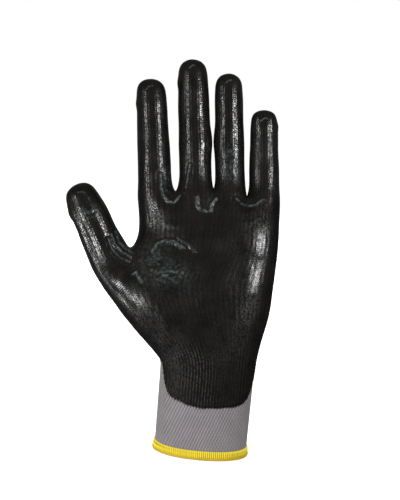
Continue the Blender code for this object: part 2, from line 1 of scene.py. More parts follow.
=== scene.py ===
"""Looks of the seamless-knit work glove with its palm-dipped coating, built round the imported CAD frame.

The glove is one smooth skin: rings of points are laid round the cuff, the palm and each digit, and
subdivided. Each piece is a closed sheet between two offsets of that skin, the knitted liner just inside it or
the dipped coating just outside. The skin is parted in the middle of each rigid stretch, so a piece holds one
fold at most and bends across it. In the hand's frame x runs to the little finger, y to the back of the hand
and z to the fingertips. Lengths are in metres; the relief and the materials use millimetres of that frame.
"""

import json
import math
from collections import namedtuple

import bmesh
import bpy
import numpy as np
from mathutils import Matrix, Vector, noise


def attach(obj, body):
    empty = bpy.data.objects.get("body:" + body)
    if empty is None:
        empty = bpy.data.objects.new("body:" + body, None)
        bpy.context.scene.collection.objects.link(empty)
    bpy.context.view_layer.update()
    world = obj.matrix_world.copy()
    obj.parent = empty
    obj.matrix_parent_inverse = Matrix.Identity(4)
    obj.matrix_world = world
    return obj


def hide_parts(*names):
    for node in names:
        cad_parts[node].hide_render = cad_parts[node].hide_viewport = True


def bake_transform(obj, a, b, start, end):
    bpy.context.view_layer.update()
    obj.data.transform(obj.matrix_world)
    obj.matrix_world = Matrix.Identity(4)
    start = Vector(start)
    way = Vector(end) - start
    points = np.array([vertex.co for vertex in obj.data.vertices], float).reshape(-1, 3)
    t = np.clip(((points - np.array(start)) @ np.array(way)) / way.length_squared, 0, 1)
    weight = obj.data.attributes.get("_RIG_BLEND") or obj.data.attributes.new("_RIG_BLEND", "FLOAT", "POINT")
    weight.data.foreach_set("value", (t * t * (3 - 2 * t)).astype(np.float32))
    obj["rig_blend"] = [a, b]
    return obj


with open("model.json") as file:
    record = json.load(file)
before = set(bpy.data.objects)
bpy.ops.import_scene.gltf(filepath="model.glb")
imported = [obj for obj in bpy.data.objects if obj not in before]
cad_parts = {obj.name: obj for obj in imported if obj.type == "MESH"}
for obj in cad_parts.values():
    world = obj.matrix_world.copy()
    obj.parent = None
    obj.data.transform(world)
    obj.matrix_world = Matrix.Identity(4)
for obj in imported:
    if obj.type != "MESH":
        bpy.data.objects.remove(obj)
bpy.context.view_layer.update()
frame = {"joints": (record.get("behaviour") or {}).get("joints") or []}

MM = 0.001


def mm(*values):
    return tuple(value * MM for value in values)


JOINTS = {joint["name"]: joint for joint in frame["joints"]}

# The frame: the hand's axes are those of the knuckle fold and of the wrist's sideways tilt
TILT_HEIGHT = 7 * MM
CUFF_CENTRE = Vector((JOINTS["wrist_bend"]["pos_m"][0], JOINTS["wrist_bend"]["pos_m"][1], 0))
HAND_X = Vector(JOINTS["knuckle_fold"]["axis"]).normalized()
HAND_Y = -Vector(JOINTS["wrist_tilt"]["axis"]).normalized()
HAND_Z = HAND_X.cross(HAND_Y)
HAND = Matrix((HAND_X, HAND_Y, HAND_Z)).transposed().to_4x4()
HAND.translation = Vector(JOINTS["wrist_tilt"]["pos_m"]) - HAND_Z * TILT_HEIGHT
WRIST_HEIGHT = HAND.translation.z

# Cuff and wrist
CUFF_HALF_WIDTH = 29.6 * MM
CUFF_HALF_DEPTH = 22.5 * MM
WRIST_HALF_WIDTH = 30.2 * MM
WRIST_HALF_DEPTH = 20.0 * MM
CUFF_RING_HEIGHTS = mm(1.5, 14, 27, 40, 52)
SECTION_POWER = 2.2

# Palm rows, wrist to finger roots: side edges, depths to the palm and to the back, and how far the columns
# have moved from even spacing to the spacing of the fingers
Row = namedtuple("Row", "left_x left_z right_x right_z front back finger_share")
PALM_ROWS = (
    Row(*mm(-30.5, 0, 30.2, 0, 19.5, 19.5), 0.0),
    Row(*mm(-44.6, 14, 35.2, 13, 19.0, 18.0), 0.1),
    Row(*mm(-58.6, 31, 39.4, 27, 17.5, 16.5), 0.2),
    Row(*mm(-70.0, 51, 41.8, 42, 16.5, 16.0), 0.3),
    Row(*mm(-58.0, 57, 43.2, 54, 15.5, 15.5), 0.45),
    Row(*mm(-46.4, 62, 44.2, 66, 15.0, 15.0), 0.6),
    Row(*mm(-43.8, 76, 44.8, 78, 14.5, 14.0), 0.8),
    Row(*mm(-43.9, 89, 45.2, 88, 13.0, 13.0), 1.0),
)
ROW_SHARE = 0.9
THUMB_ROWS = (3, 4, 5)
FRONT_COLUMNS = 9
RING_COLUMNS = 20
SLEEVE_TOP_ROW = 1

# Cushions and the hollow of the palm
Swelling = namedtuple("Swelling", "x z radius height")
SWELLINGS = (
    Swelling(*mm(-40, 34, 19, 5.5)),
    Swelling(*mm(28, 28, 22, 3.0)),
    Swelling(*mm(-2, 60, 20, -2.5)),
)

# Fingers: middle of the root and of the tip, and full widths there
Finger = namedtuple("Finger", "root_x root_z tip_x tip_z width tip_width")
FINGERS = {
    "index": Finger(*mm(-33.2, 104, -35.9, 173.6, 19.4, 16.4)),
    "middle": Finger(*mm(-7.8, 106, -9.9, 186.2, 18.8, 16.8)),
    "ring": Finger(*mm(13.4, 105, 12.6, 177.0, 17.0, 15.6)),
    "little": Finger(*mm(34.8, 101, 34.6, 153.8, 17.6, 14.4)),
}
ROOT_EDGES = mm(-43.8, 44.2)
CROTCHES = (mm(-20.2, 99.6), mm(3.1, 101.6), mm(23.6, 95.2))
ROOT_SIDE_HEIGHTS = mm(99, 95)
ROOT_DEPTH = 11.5 * MM
ROOT_MIDDLE_DROP = 4 * MM
ROOT_EDGE_INSET = 1.5 * MM
ROOT_SIDE_BULGE = 0.6 * MM
ROOT_EDGE_DEPTH_SHARE = 0.66
CROTCH_DEPTH_SHARE = 0.8
FINGER_DEPTH_SHARE = 0.95
FINGER_CURVE = 2.5 * MM

# Rings of a digit: share of its length, and width as a share of its even taper
FINGER_RINGS = ((0.03, 1.0), (0.18, 1.0), (0.34, 1.04), (0.5, 1.01), (0.67, 1.02), (0.83, 1.0), (0.945, 0.93))
CAP_RISE = 0.6 * MM

# A subdivided ring shrinks, so it is drawn larger, and its corners stand out less than its sides
CORNER_SHARE = 0.74
RING_OVERSIZE = 1.108

# Thumb
THUMB_ROOT = Vector(mm(-59.7, -4, 58))
THUMB_TIP = Vector(mm(-82.4, -11, 107.6))
THUMB_WIDTH = 25.2 * MM
THUMB_TIP_WIDTH = 18.0 * MM
THUMB_DEPTH_SHARE = 0.96
THUMB_RINGS = ((0.18, 0.99), (0.34, 0.97), (0.52, 1.02), (0.68, 1.05), (0.82, 0.98), (0.93, 0.79))

# Zones of the skin; the fingers are zones 1 to 4
TRUNK = 0
THUMB_ZONE = 5
SLEEVE = 6


def blend(low, high, share):
    return low + (high - low) * share


def new_object(name, data):
    item = bpy.data.objects.new(name, data)
    bpy.context.scene.collection.objects.link(item)
    return item


def section_depth(across):
    """Depth of the hand's section, as a share, at a place across it from -1 to 1."""
    return max(0.0, 1 - abs(across) ** SECTION_POWER) ** (1 / SECTION_POWER)


def even_columns():
    return [blend(-ROW_SHARE, ROW_SHARE, j / (FRONT_COLUMNS - 1)) for j in range(FRONT_COLUMNS)]


def root_positions():
    """The x of the nine columns at the finger roots: edges, finger middles and crotches in turn."""
    bounds = [ROOT_EDGES[0]] + [crotch[0] for crotch in CROTCHES] + [ROOT_EDGES[1]]
    columns = [bounds[0]]
    for finger, bound in zip(FINGERS.values(), bounds[1:]):
        columns += [finger.root_x, bound]
    return columns


def root_columns():
    centre = (ROOT_EDGES[0] + ROOT_EDGES[1]) / 2
    half = (ROOT_EDGES[1] - ROOT_EDGES[0]) / 2
    return [ROW_SHARE * (x - centre) / half for x in root_positions()]


def swelling_depth(x, z):
    return sum(
        item.height * math.exp(-(math.hypot(x - item.x, z - item.z) / item.radius) ** 2) for item in SWELLINGS
    )


class Skin:
    """Control mesh of the glove's outer face, with each corner's place in the knit (wales, courses)."""

    def __init__(self):
        self.points = []
        self.faces = []
        self.zones = []
        self.places = []

    def add(self, point):
        self.points.append(Vector(point))
        return len(self.points) - 1

    def face(self, corners, zone, places):
        self.faces.append(corners)
        self.zones.append(zone)
        self.places += places

    def bridge(self, lower, upper, zone, heights):
        low, high = heights
        for i in range(len(lower)):
            j = (i + 1) % len(lower)
            corners = (lower[i], lower[j], upper[j], upper[i])
            if None not in corners:
                self.face(corners, zone, [(i, low), (i + 1, low), (i + 1, high), (i, high)])

    def cap(self, ring, centre, zone, heights):
        middle = self.add(centre)
        low, high = heights
        for i in range(0, len(ring), 2):
            corners = (ring[i], ring[i + 1], ring[(i + 2) % len(ring)], middle)
            self.face(corners, zone, [(i, low), (i + 1, low), (i + 2, low), (i + 1, high)])


def full_ring(front, back, left, right):
    """Order one row as a closed ring: left side, front columns, right side, back columns in reverse."""
    return [left] + front + [right] + back[::-1]


def cuff_ring(skin, height):
    share = height / WRIST_HEIGHT
    half_width = blend(CUFF_HALF_WIDTH, WRIST_HALF_WIDTH, share)
    half_depth = blend(CUFF_HALF_DEPTH, WRIST_HALF_DEPTH, share)
    middle = CUFF_CENTRE + Vector((0, 0, height))
    front = []
    back = []
    for across in even_columns():
        depth = half_depth * section_depth(across)
        front.append(skin.add(middle + Vector((half_width * across, -depth, 0))))
        back.append(skin.add(middle + Vector((half_width * across, depth, 0))))
    left = skin.add(middle - Vector((half_width, 0, 0)))
    right = skin.add(middle + Vector((half_width, 0, 0)))
    return full_ring(front, back, left, right)


def palm_ring(skin, row, thumb_ring):
    """One row of the palm; thumb_ring gives the places where the row meets the thumb's root, if it does."""
    half_width = (row.right_x - row.left_x) / 2
    centre = (row.right_x + row.left_x) / 2
    front = []
    back = []
    for even, rooted in zip(even_columns(), root_columns()):
        across = blend(even, rooted, row.finger_share)
        x = centre + half_width * across
        z = blend(row.left_z, row.right_z, (across + 1) / 2)
        depth = section_depth(across)
        front.append(Vector((x, -row.front * depth - swelling_depth(x, z) * depth, z)))
        back.append(Vector((x, row.back * depth, z)))
    left = Vector((row.left_x, 0, row.left_z))
    if thumb_ring:
        left, front[0], back[0] = thumb_ring
    front = [skin.add(HAND @ point) for point in front]
    back = [skin.add(HAND @ point) for point in back]
    left_index = None if left is None else skin.add(HAND @ left)
    right_index = skin.add(HAND @ Vector((row.right_x, 0, row.right_z)))
    return full_ring(front, back, left_index, right_index)


def ring_offsets(half_width, half_depth):
    """The eight offsets of a digit's ring: side, front, other side and back, with the corners between."""
    corner_x = half_width * CORNER_SHARE
    corner_y = half_depth * CORNER_SHARE
    return (
        (-half_width, 0), (-corner_x, -corner_y), (0, -half_depth), (corner_x, -corner_y),
        (half_width, 0), (corner_x, corner_y), (0, half_depth), (-corner_x, corner_y),
    )


def thumb_axes():
    along = (THUMB_TIP - THUMB_ROOT).normalized()
    to_web = Vector((along.z, 0, -along.x)).normalized()
    front = to_web.cross(along).normalized()
    return along, to_web, front


def thumb_point(along_share, side, depth):
    """A point on the thumb: share of its length, distance to the web side and distance to the back."""
    to_web, front = thumb_axes()[1:]
    point = THUMB_ROOT + (THUMB_TIP - THUMB_ROOT) * along_share
    return point + to_web * side - front * depth


def thumb_root_rows():
    """Thumb-root places for the three rows that meet it, as left side, front and back."""
    half = THUMB_WIDTH / 2 * RING_OVERSIZE
    offsets = [thumb_point(0, *pair) for pair in ring_offsets(half, half * THUMB_DEPTH_SHARE)]
    outer, outer_front, front, web_front, web, web_back, back, outer_back = offsets
    return ((outer, outer_front, outer_back), (None, front, back), (web, web_front, web_back))


def root_row(skin):
    """The row at the finger roots, with a middle point in each crotch."""
    front = []
    back = []
    heights = [ROOT_SIDE_HEIGHTS[0]]
    for finger, crotch in zip(FINGERS.values(), CROTCHES + (None,)):
        heights += [finger.root_z - ROOT_MIDDLE_DROP, crotch[1] if crotch else ROOT_SIDE_HEIGHTS[1]]
    for column, (x, z) in enumerate(zip(root_positions(), heights)):
        at_edge = column in (0, FRONT_COLUMNS - 1)
        between = column % 2 == 0
        depth = ROOT_DEPTH * (ROOT_EDGE_DEPTH_SHARE if at_edge else CROTCH_DEPTH_SHARE if between else 1)
        inset = ROOT_EDGE_INSET if column == 0 else -ROOT_EDGE_INSET if at_edge else 0
        front.append(skin.add(HAND @ Vector((x + inset, -depth, z))))
        back.append(skin.add(HAND @ Vector((x + inset, depth, z))))
    left = skin.add(HAND @ Vector((ROOT_EDGES[0] - ROOT_SIDE_BULGE, 0, ROOT_SIDE_HEIGHTS[0])))
    right = skin.add(HAND @ Vector((ROOT_EDGES[1] + ROOT_SIDE_BULGE, 0, ROOT_SIDE_HEIGHTS[1])))
    middles = [skin.add(HAND @ Vector((x, 0, z))) for x, z in CROTCHES]
    return front, back, [left] + middles + [right]


def finger_point(finger, share):
    """Centre of the finger's section at a share of its length from root to tip."""
    x = blend(finger.root_x, finger.tip_x, share)
    return Vector((x, -FINGER_CURVE * share ** 2, blend(finger.root_z, finger.tip_z, share)))


def add_finger(skin, finger, root, zone):
    ring = root
    height = finger.root_z - ROOT_MIDDLE_DROP
    for share, scale in FINGER_RINGS:
        half = blend(finger.width, finger.tip_width, share) / 2 * RING_OVERSIZE * scale
        centre = finger_point(finger, share)
        offsets = ring_offsets(half, half * FINGER_DEPTH_SHARE)
        upper = [skin.add(HAND @ (centre + Vector((x, y, 0)))) for x, y in offsets]
        skin.bridge(ring, upper, zone, (height, centre.z))
        ring = upper
        height = centre.z
    tip = finger_point(finger, 1) + Vector((0, 0, CAP_RISE))
    skin.cap(ring, HAND @ tip, zone, (height, tip.z))


def add_thumb(skin, root):
    ring = root
    length = (THUMB_TIP - THUMB_ROOT).length
    height = 0.0
    for share, scale in THUMB_RINGS:
        half = blend(THUMB_WIDTH, THUMB_TIP_WIDTH, share) / 2 * RING_OVERSIZE * scale
        offsets = ring_offsets(half, half * THUMB_DEPTH_SHARE)
        upper = [skin.add(HAND @ thumb_point(share, x, y)) for x, y in offsets]
        skin.bridge(ring, upper, THUMB_ZONE, (height, share * length))
        ring = upper
        height = share * length
    skin.cap(ring, HAND @ thumb_point(1, 0, 0), THUMB_ZONE, (height, length))


def glove_skin():
    """The whole control mesh, and its lower rings as far as the sleeve's fine grid needs them."""
    skin = Skin()
    rings = [cuff_ring(skin, height) for height in CUFF_RING_HEIGHTS]
    heights = list(CUFF_RING_HEIGHTS)
    thumb_rows = dict(zip(THUMB_ROWS, thumb_root_rows()))
    for number, row in enumerate(PALM_ROWS):
        rings.append(palm_ring(skin, row, thumb_rows.get(number)))
        heights.append(WRIST_HEIGHT + row.right_z)
    front, back, middles = root_row(skin)
    rings.append(full_ring(front, back, middles[0], middles[-1]))
    heights.append(WRIST_HEIGHT + ROOT_SIDE_HEIGHTS[1])
    first_palm = len(CUFF_RING_HEIGHTS)
    for number in range(len(rings) - 1):
        zone = SLEEVE if number < first_palm + SLEEVE_TOP_ROW else TRUNK
        skin.bridge(rings[number], rings[number + 1], zone, heights[number:number + 2])
    for number, finger in enumerate(FINGERS.values()):
        left = 2 * number
        root = [
            middles[number], front[left], front[left + 1], front[left + 2],
            middles[number + 1], back[left + 2], back[left + 1], back[left],
        ]
        add_finger(skin, finger, root, number + 1)
    low, middle, top = [rings[first_palm + number] for number in THUMB_ROWS]
    add_thumb(skin, [low[0], low[1], middle[1], top[1], top[0], top[-1], middle[-1], low[-1]])
    lower = [[skin.points[index] for index in ring] for ring in rings[:first_palm + SLEEVE_TOP_ROW + 2]]
    return skin, lower, heights


# Fineness of the surfaces: subdivisions of the knit and of the coating, and the sleeve's grid
KNIT_LEVELS = 3
COAT_LEVELS = 4
SLEEVE_COLUMNS = 540
SLEEVE_STEP = 0.65 * MM
CUT_TOLERANCE = 0.001 * MM

# Knit: wales and courses, as seen in the shading, and the ribs of the sleeve
WALES_PER_COLUMN = {TRUNK: 3.7, SLEEVE: 3.7, THUMB_ZONE: 5.5}
FINGER_WALES_PER_COLUMN = 4.5
COURSE_HEIGHT = 1.2 * MM
RIB_HEIGHT = 0.36 * MM
STITCH_HEIGHT = 0.30 * MM
STITCH_TOP = 60 * MM
RIGHT_LEG_COURSES = 4.03
LEFT_LEG_COURSES = 2.42
RIB_FADE = mm(-2, 12)

# Layers
LINER_THICKNESS = 0.9 * MM
COAT_RISE = 0.7 * MM
COAT_SINK = 0.35 * MM
COAT_LEAST = 0.25 * MM
COAT_INNER = -0.45 * MM
COAT_EDGE_HALF = 0.4 * MM
COAT_MARGIN = 1.3 * MM
COAT_WRAP = 3 * MM
COAT_TIP_LENGTH = 13 * MM
COAT_TIP_SLOPE = math.radians(35)
THUMB_COAT_BLEND = 12 * MM

# How the coating's edge wanders: a long wave along the hand with a shorter one on it
EDGE_WAVE = 0.5 * MM
LONG_WAVE = 7 * MM
SHORT_WAVE = 2.9 * MM
SHORT_WAVE_SHARE = 0.6
SHORT_WAVE_SLANT = 9 * MM

# Lower edge of the coating on the cuff: a level tongue that turns up at the sides, with teeth on each wale
TONGUE_BOTTOM = 33.2 * MM
TONGUE_SHIFT = 0.07
TONGUE_LIMIT = 1.055
TONGUE_BOWL = 5 * MM
TONGUE_CORNER = 8.5 * MM
TONGUE_CORNER_POWER = 12
TONGUE_SIDE = mm(-11, 2)
TONGUE_SIDE_RISE = 10 * MM
TONGUE_ROUNDING = 8 * MM
TONGUE_WAVES = ((0.3 * MM, 7, 0), (0.15 * MM, 19, 1))
TEETH_PER_WALE = 2
TOOTH_HEIGHT = 1.8 * MM


def smooth(value, start, end):
    t = np.clip((value - start) / (end - start), 0, 1)
    return t * t * (3 - 2 * t)


def to_hand(points):
    """Points of the row frame, as rows of an array, in the hand's own frame."""
    inverse = np.array(HAND.inverted())
    return points @ inverse[:3, :3].T + inverse[:3, 3]


def turned_to_hand(vectors):
    return vectors @ np.array(HAND)[:3, :3]


def surface_normals(points, faces):
    """Smooth unit normals of a surface at its points."""
    mesh = bpy.data.meshes.new("normals")
    mesh.from_pydata(points, [], faces)
    normals = np.zeros(len(points) * 3)
    mesh.vertex_normals.foreach_get("vector", normals)
    bpy.data.meshes.remove(mesh)
    return normals.reshape(-1, 3)


# One smooth surface: points, faces as lists of point numbers, the knit place of each face corner, and the
# zone of each face
Surface = namedtuple("Surface", "points faces places zones")


def cut(bm, zones, point, normal, below):
    """Part the faces of some zones along a plane of the hand's frame, or only those below a height."""
    faces = [face for face in bm.faces if face.material_index in zones]
    if below is not None:
        inverse = HAND.inverted()
        faces = [face for face in faces if (inverse @ face.calc_center_median()).z < below]
    edges = {edge for face in faces for edge in face.edges}
    verts = {vert for face in faces for vert in face.verts}
    bmesh.ops.bisect_plane(
        bm, geom=[*verts, *edges, *faces], dist=CUT_TOLERANCE,
        plane_co=HAND @ Vector(point), plane_no=HAND.to_3x3() @ Vector(normal),
    )


def smooth_skin(skin, levels):
    """The subdivided skin above the sleeve, parted at the borders between the pieces."""
    mesh = bpy.data.meshes.new("skin")
    mesh.from_pydata(skin.points, [], skin.faces)
    mesh.polygons.foreach_set("material_index", skin.zones)
    corner_places = [value for place in skin.places for value in place]
    mesh.uv_layers.new(name="knit").data.foreach_set("uv", corner_places)
    carrier = new_object("skin", mesh)
    modifier = carrier.modifiers.new("smoothing", "SUBSURF")
    modifier.levels = levels
    modifier.uv_smooth = "NONE"
    graph = bpy.context.evaluated_depsgraph_get()
    bm = bmesh.new()
    bm.from_mesh(carrier.evaluated_get(graph).to_mesh())
    bpy.data.objects.remove(carrier)
    bpy.data.meshes.remove(mesh)
    sleeve = [face for face in bm.faces if face.material_index == SLEEVE]
    bmesh.ops.delete(bm, geom=sleeve, context="FACES")
    for border in BORDERS:
        cut(bm, *border)
    bm.verts.index_update()
    knit = bm.loops.layers.uv["knit"]
    points = np.array([vert.co for vert in bm.verts])
    faces = [[vert.index for vert in face.verts] for face in bm.faces]
    zones = np.array([face.material_index for face in bm.faces])
    places = []
    for face in bm.faces:
        wales = WALES_PER_COLUMN.get(face.material_index, FINGER_WALES_PER_COLUMN)
        places.append([(loop[knit].uv.x * wales, loop[knit].uv.y / COURSE_HEIGHT) for loop in face.loops])
    bm.free()
    return Surface(points, faces, places, zones)


def spline_weights(parameters, count, closed):
    """Uniform cubic B-spline weights of the control rows at each parameter."""
    weights = np.zeros((len(parameters), count))
    for number, parameter in enumerate(parameters):
        span = min(int(parameter), count - (0 if closed else 4))
        t = parameter - span
        basis = ((1 - t) ** 3, 3 * t ** 3 - 6 * t ** 2 + 4, -3 * t ** 3 + 3 * t ** 2 + 3 * t + 1, t ** 3)
        for k, value in enumerate(basis):
            index = (span + k - 1) % count if closed else span + k
            weights[number, index] += value / 6
    return weights


def sleeve_surface(rows, heights):
    """The skin from the hem to the heel of the hand, as a fine grid on the spline of the subdivision."""
    rows = np.array(rows)
    control = np.concatenate([[2 * rows[0] - rows[1]], rows])
    spans = len(rows) - 2
    length = heights[spans] - heights[0]
    steps = int(length / SLEEVE_STEP)
    along = np.linspace(0, spans, steps + 1)
    around = np.arange(SLEEVE_COLUMNS) * RING_COLUMNS / SLEEVE_COLUMNS
    row_weights = spline_weights(along, len(control), closed=False)
    column_weights = spline_weights(around, RING_COLUMNS, closed=True)
    grid = np.einsum("ai,bj,ijk->abk", row_weights, column_weights, control)
    faces = []
    places = []
    courses = np.interp(along, range(spans + 1), heights[:spans + 1]) / COURSE_HEIGHT
    wales = np.append(around, RING_COLUMNS) * WALES_PER_COLUMN[SLEEVE]
    for i in range(steps):
        for j in range(SLEEVE_COLUMNS):
            k = (j + 1) % SLEEVE_COLUMNS
            low, high = i * SLEEVE_COLUMNS, (i + 1) * SLEEVE_COLUMNS
            faces.append([low + j, low + k, high + k, high + j])
            places.append([
                (wales[j], courses[i]), (wales[j + 1], courses[i]),
                (wales[j + 1], courses[i + 1]), (wales[j], courses[i + 1]),
            ])
    points = grid.reshape(-1, 3)
    middle_height = grid[:, :, 2].mean(axis=1)
    numbers = []
    for i in range(steps):
        if middle_height[i + 1] < CUFF_FOLD_HEIGHT - WRIST_BEND_HALF:
            piece = "cuff"
        else:
            piece = "wrist_lower" if along[i + 1] <= len(CUFF_RING_HEIGHTS) else "wrist_upper"
        numbers += [NUMBER[piece]] * SLEEVE_COLUMNS
    wale = np.tile(around * WALES_PER_COLUMN[SLEEVE], steps + 1)
    return Surface(points, faces, places, np.full(len(faces), SLEEVE)), np.array(numbers), wale


# Folds: heights along the hand, lengths over which the cloth bends, and lengths along the thumb
CUFF_FOLD_HEIGHT = JOINTS["wrist_bend"]["pos_m"][2]
WRIST_BEND_HALF = 9.5 * MM
TILT_ZONE = mm(0.5, 13.5)
KNUCKLE_ZONE = mm(73.5, 86.5)
KNUCKLE_BORDER = 73 * MM
BASE_BELOW = 5.0 * MM
BASE_ABOVE = 7.0 * MM
BORDER_STEP = 0.3 * MM
MIDDLE_HALF_SHARE = 0.12
TIP_HALF_SHARE = 0.088
WEB_BORDER = -11 * MM
WEB_ZONE = mm(-9, 6)
WEB_FADE = mm(65, 72.5)
WEB_THUMB_FADE = 2 * MM
THUMB_BEND_ZONE = mm(5.3, 12.8)
THUMB_TIP_ZONE = mm(20, 38)
THUMB_BORDERS = mm(5, 19)


def joint_point(name):
    return HAND.inverted() @ Vector(JOINTS[name]["pos_m"])


def web_frame():
    """Centre of the thumb's swing axis and the way out from it to the thumb, in the hand's frame."""
    axis = HAND.to_3x3().inverted() @ Vector(JOINTS["thumb_swing"]["axis"])
    axis = axis if axis.z > 0 else -axis
    return joint_point("thumb_swing"), Vector((0, -1, 0)).cross(axis).normalized()


# The stretches of one finger: the zones over which it bends, and the borders between its pieces
Stretch = namedtuple("Stretch", "base middle tip borders")


def finger_stretch(name, finger):
    length = finger.tip_z - finger.root_z
    base, middle, tip = [joint_point(f"{name}_{part}").z for part in ("base", "middle", "tip")]
    middle_half = MIDDLE_HALF_SHARE * length
    tip_half = TIP_HALF_SHARE * length
    zones = (
        (base - BASE_BELOW, base + BASE_ABOVE), (middle - middle_half, middle + middle_half),
        (tip - tip_half, tip + tip_half),
    )
    between = [(lower[1] + upper[0]) / 2 for lower, upper in zip(zones, zones[1:])]
    return Stretch(*zones, (base - BASE_BELOW - BORDER_STEP, *between))


STRETCHES = {name: finger_stretch(name, finger) for name, finger in FINGERS.items()}
UP = (0, 0, 1)


def all_borders():
    """Planes at which the skin above the sleeve is parted, as zones, point, normal and a height limit."""
    centre, outward = web_frame()
    along = thumb_axes()[0]
    yield (TRUNK,), (0, 0, KNUCKLE_BORDER), UP, None
    yield (TRUNK,), centre + outward * WEB_BORDER, outward, KNUCKLE_BORDER
    for distance in THUMB_BORDERS:
        yield (THUMB_ZONE,), THUMB_ROOT + along * distance, along, None
    for zone, stretch in enumerate(STRETCHES.values(), start=1):
        for height in stretch.borders:
            yield (zone,), (0, 0, height), UP, None


BORDERS = list(all_borders())

# One piece: its name, the body or the two bodies it moves with, where it starts and ends bending, and the
# body whose CAD nodes it stands for
Piece = namedtuple("Piece", "name bodies start end stands_for")


def along_hand(low, high):
    return HAND @ Vector((0, 0, low)), HAND @ Vector((0, 0, high))


def along_thumb(low, high):
    along = thumb_axes()[0]
    return HAND @ (THUMB_ROOT + along * low), HAND @ (THUMB_ROOT + along * high)


def all_pieces():
    fold = Vector((CUFF_CENTRE.x, CUFF_CENTRE.y, CUFF_FOLD_HEIGHT))
    half = Vector((0, 0, WRIST_BEND_HALF))
    centre, outward = web_frame()
    yield Piece("cuff", ("cuff",), None, None, "cuff")
    yield Piece("wrist_lower", ("cuff", "wrist"), fold - half, fold + half, "wrist")
    yield Piece("wrist_upper", ("wrist", "palm"), *along_hand(*TILT_ZONE), "wrist")
    yield Piece("palm", ("palm",), None, None, "palm")
    web = [HAND @ (centre + outward * distance) for distance in WEB_ZONE]
    yield Piece("thumb_web", ("palm", "thumb_root"), *web, "thumb_root")
    lower, upper = along_thumb(*THUMB_BEND_ZONE), along_thumb(*THUMB_TIP_ZONE)
    yield Piece("thumb_lower", ("thumb_root", "thumb_proximal"), *lower, "thumb_proximal")
    yield Piece("thumb_upper", ("thumb_proximal", "thumb_distal"), *upper, "thumb_distal")
    yield Piece("knuckles", ("palm", "knuckles"), *along_hand(*KNUCKLE_ZONE), "knuckles")
    for name, stretch in STRETCHES.items():
        proximal, middle, distal = f"{name}_proximal", f"{name}_middle", f"{name}_distal"
        yield Piece(f"{name}_base", ("knuckles", proximal), *along_hand(*stretch.base), proximal)
        yield Piece(f"{name}_middle", (proximal, middle), *along_hand(*stretch.middle), middle)
        yield Piece(f"{name}_tip", (middle, distal), *along_hand(*stretch.tip), distal)


PIECES = list(all_pieces())
NUMBER = {piece.name: number for number, piece in enumerate(PIECES)}


def face_pieces(surface):
    """Which piece each face of a surface belongs to."""
    centres = to_hand(np.array([surface.points[face].mean(axis=0) for face in surface.faces]))
    height = centres[:, 2]
    web_centre, outward = web_frame()
    out = (centres - np.array(web_centre)) @ np.array(outward)
    along = (centres - np.array(THUMB_ROOT)) @ np.array(thumb_axes()[0])
    numbers = np.full(len(centres), NUMBER["palm"])
    trunk = surface.zones == TRUNK
    numbers[trunk & (out > WEB_BORDER)] = NUMBER["thumb_web"]
    numbers[trunk & (height > KNUCKLE_BORDER)] = NUMBER["knuckles"]
    thumb = surface.zones == THUMB_ZONE
    numbers[thumb] = NUMBER["thumb_web"]
    numbers[thumb & (along > THUMB_BORDERS[0])] = NUMBER["thumb_lower"]
    numbers[thumb & (along > THUMB_BORDERS[1])] = NUMBER["thumb_upper"]
    for zone, (name, stretch) in enumerate(STRETCHES.items(), start=1):
        digit = surface.zones == zone
        numbers[digit] = NUMBER["knuckles"]
        for border, part in zip(stretch.borders, ("base", "middle", "tip")):
            numbers[digit & (height > border)] = NUMBER[f"{name}_{part}"]
    return numbers


# Relief of the coating. A crease is a raised line on the palm side with a valley on each side, and its tint
# is
# a painted glint along it. In order: round the crotches, in the hollow of the palm, at the web and on the
# thumb, and the long lines of the palm
Crease = namedtuple("Crease", "width height tint points")
CREASES = (
    Crease(0.8, 0.42, 1.0, (
        (-29.8, 113), (-29.4, 104.8), (-27.8, 99.1), (-24.6, 95.6), (-20.9, 95.1), (-17.4, 99))),
    Crease(0.8, 0.42, 1.0, (
        (-6.9, 99), (-6.8, 92.8), (-4.6, 90.6), (-1.1, 89.5), (1.5, 90), (1.4, 93.5), (4.8, 97.5))),
    Crease(0.9, 0.35, 0.5, ((17.0, 97.5), (20.2, 94.2), (24.8, 92.8), (29.0, 93.6), (33.8, 97.2))),
    Crease(0.7, 0.25, 0.7, ((-11.2, 119), (-12.2, 112), (-13.6, 105))),
    Crease(1.0, 0.45, 0.7, ((-34, 66), (-31.6, 70), (-26.5, 71.8), (-21.5, 71.2), (-15.5, 67.4))),
    Crease(0.8, 0.35, 0.3, ((-18, 72.5), (-12.5, 69.5), (-8, 64.5))),
    Crease(0.7, 0.35, 0.9, ((-46.2, 51.2), (-44.2, 52.6), (-42.2, 49.2), (-40.2, 46.2))),
    Crease(0.8, 0.35, 0.8, ((-59.8, 75.5), (-57.6, 69.5), (-53.2, 64.4), (-48.2, 61.6))),
    Crease(0.8, 0.30, 0.6, ((-57.6, 77), (-55.6, 71), (-51.6, 66.4), (-47.4, 63.8))),
    Crease(0.8, 0.30, 0.4, ((-61.6, 73), (-59.2, 66.6), (-55.0, 61.8), (-49.6, 59))),
    Crease(0.5, 0.15, 0.4, ((-79.6, 101), (-76.5, 101.3), (-73.4, 97.9), (-71.5, 92.9), (-71.2, 88.5))),
    Crease(1.1, 0.20, 0.0, ((-44, 60), (-38, 55), (-33, 47), (-30, 38), (-30.5, 28))),
    Crease(1.6, 0.16, 0.0, ((-26, 82), (-10, 79.5), (8, 80.5), (26, 83), (34, 86))),
)

# The valley beside a raised line, as shares of the line's width and height, and the width of its painted
# glint
VALLEY_DISTANCE = 2.2
VALLEY_WIDTH = 1.2
VALLEY_DEPTH = 0.6
TINT_WIDTH = 0.6

# A small crease with a painted glint in the middle of each fingertip, from a point below the tip
TIP_ARC_BELOW = 6.8
TIP_ARC = ((-1.6, -1.2), (-0.8, -0.2), (0.4, 0.3), (1.2, 0.3))
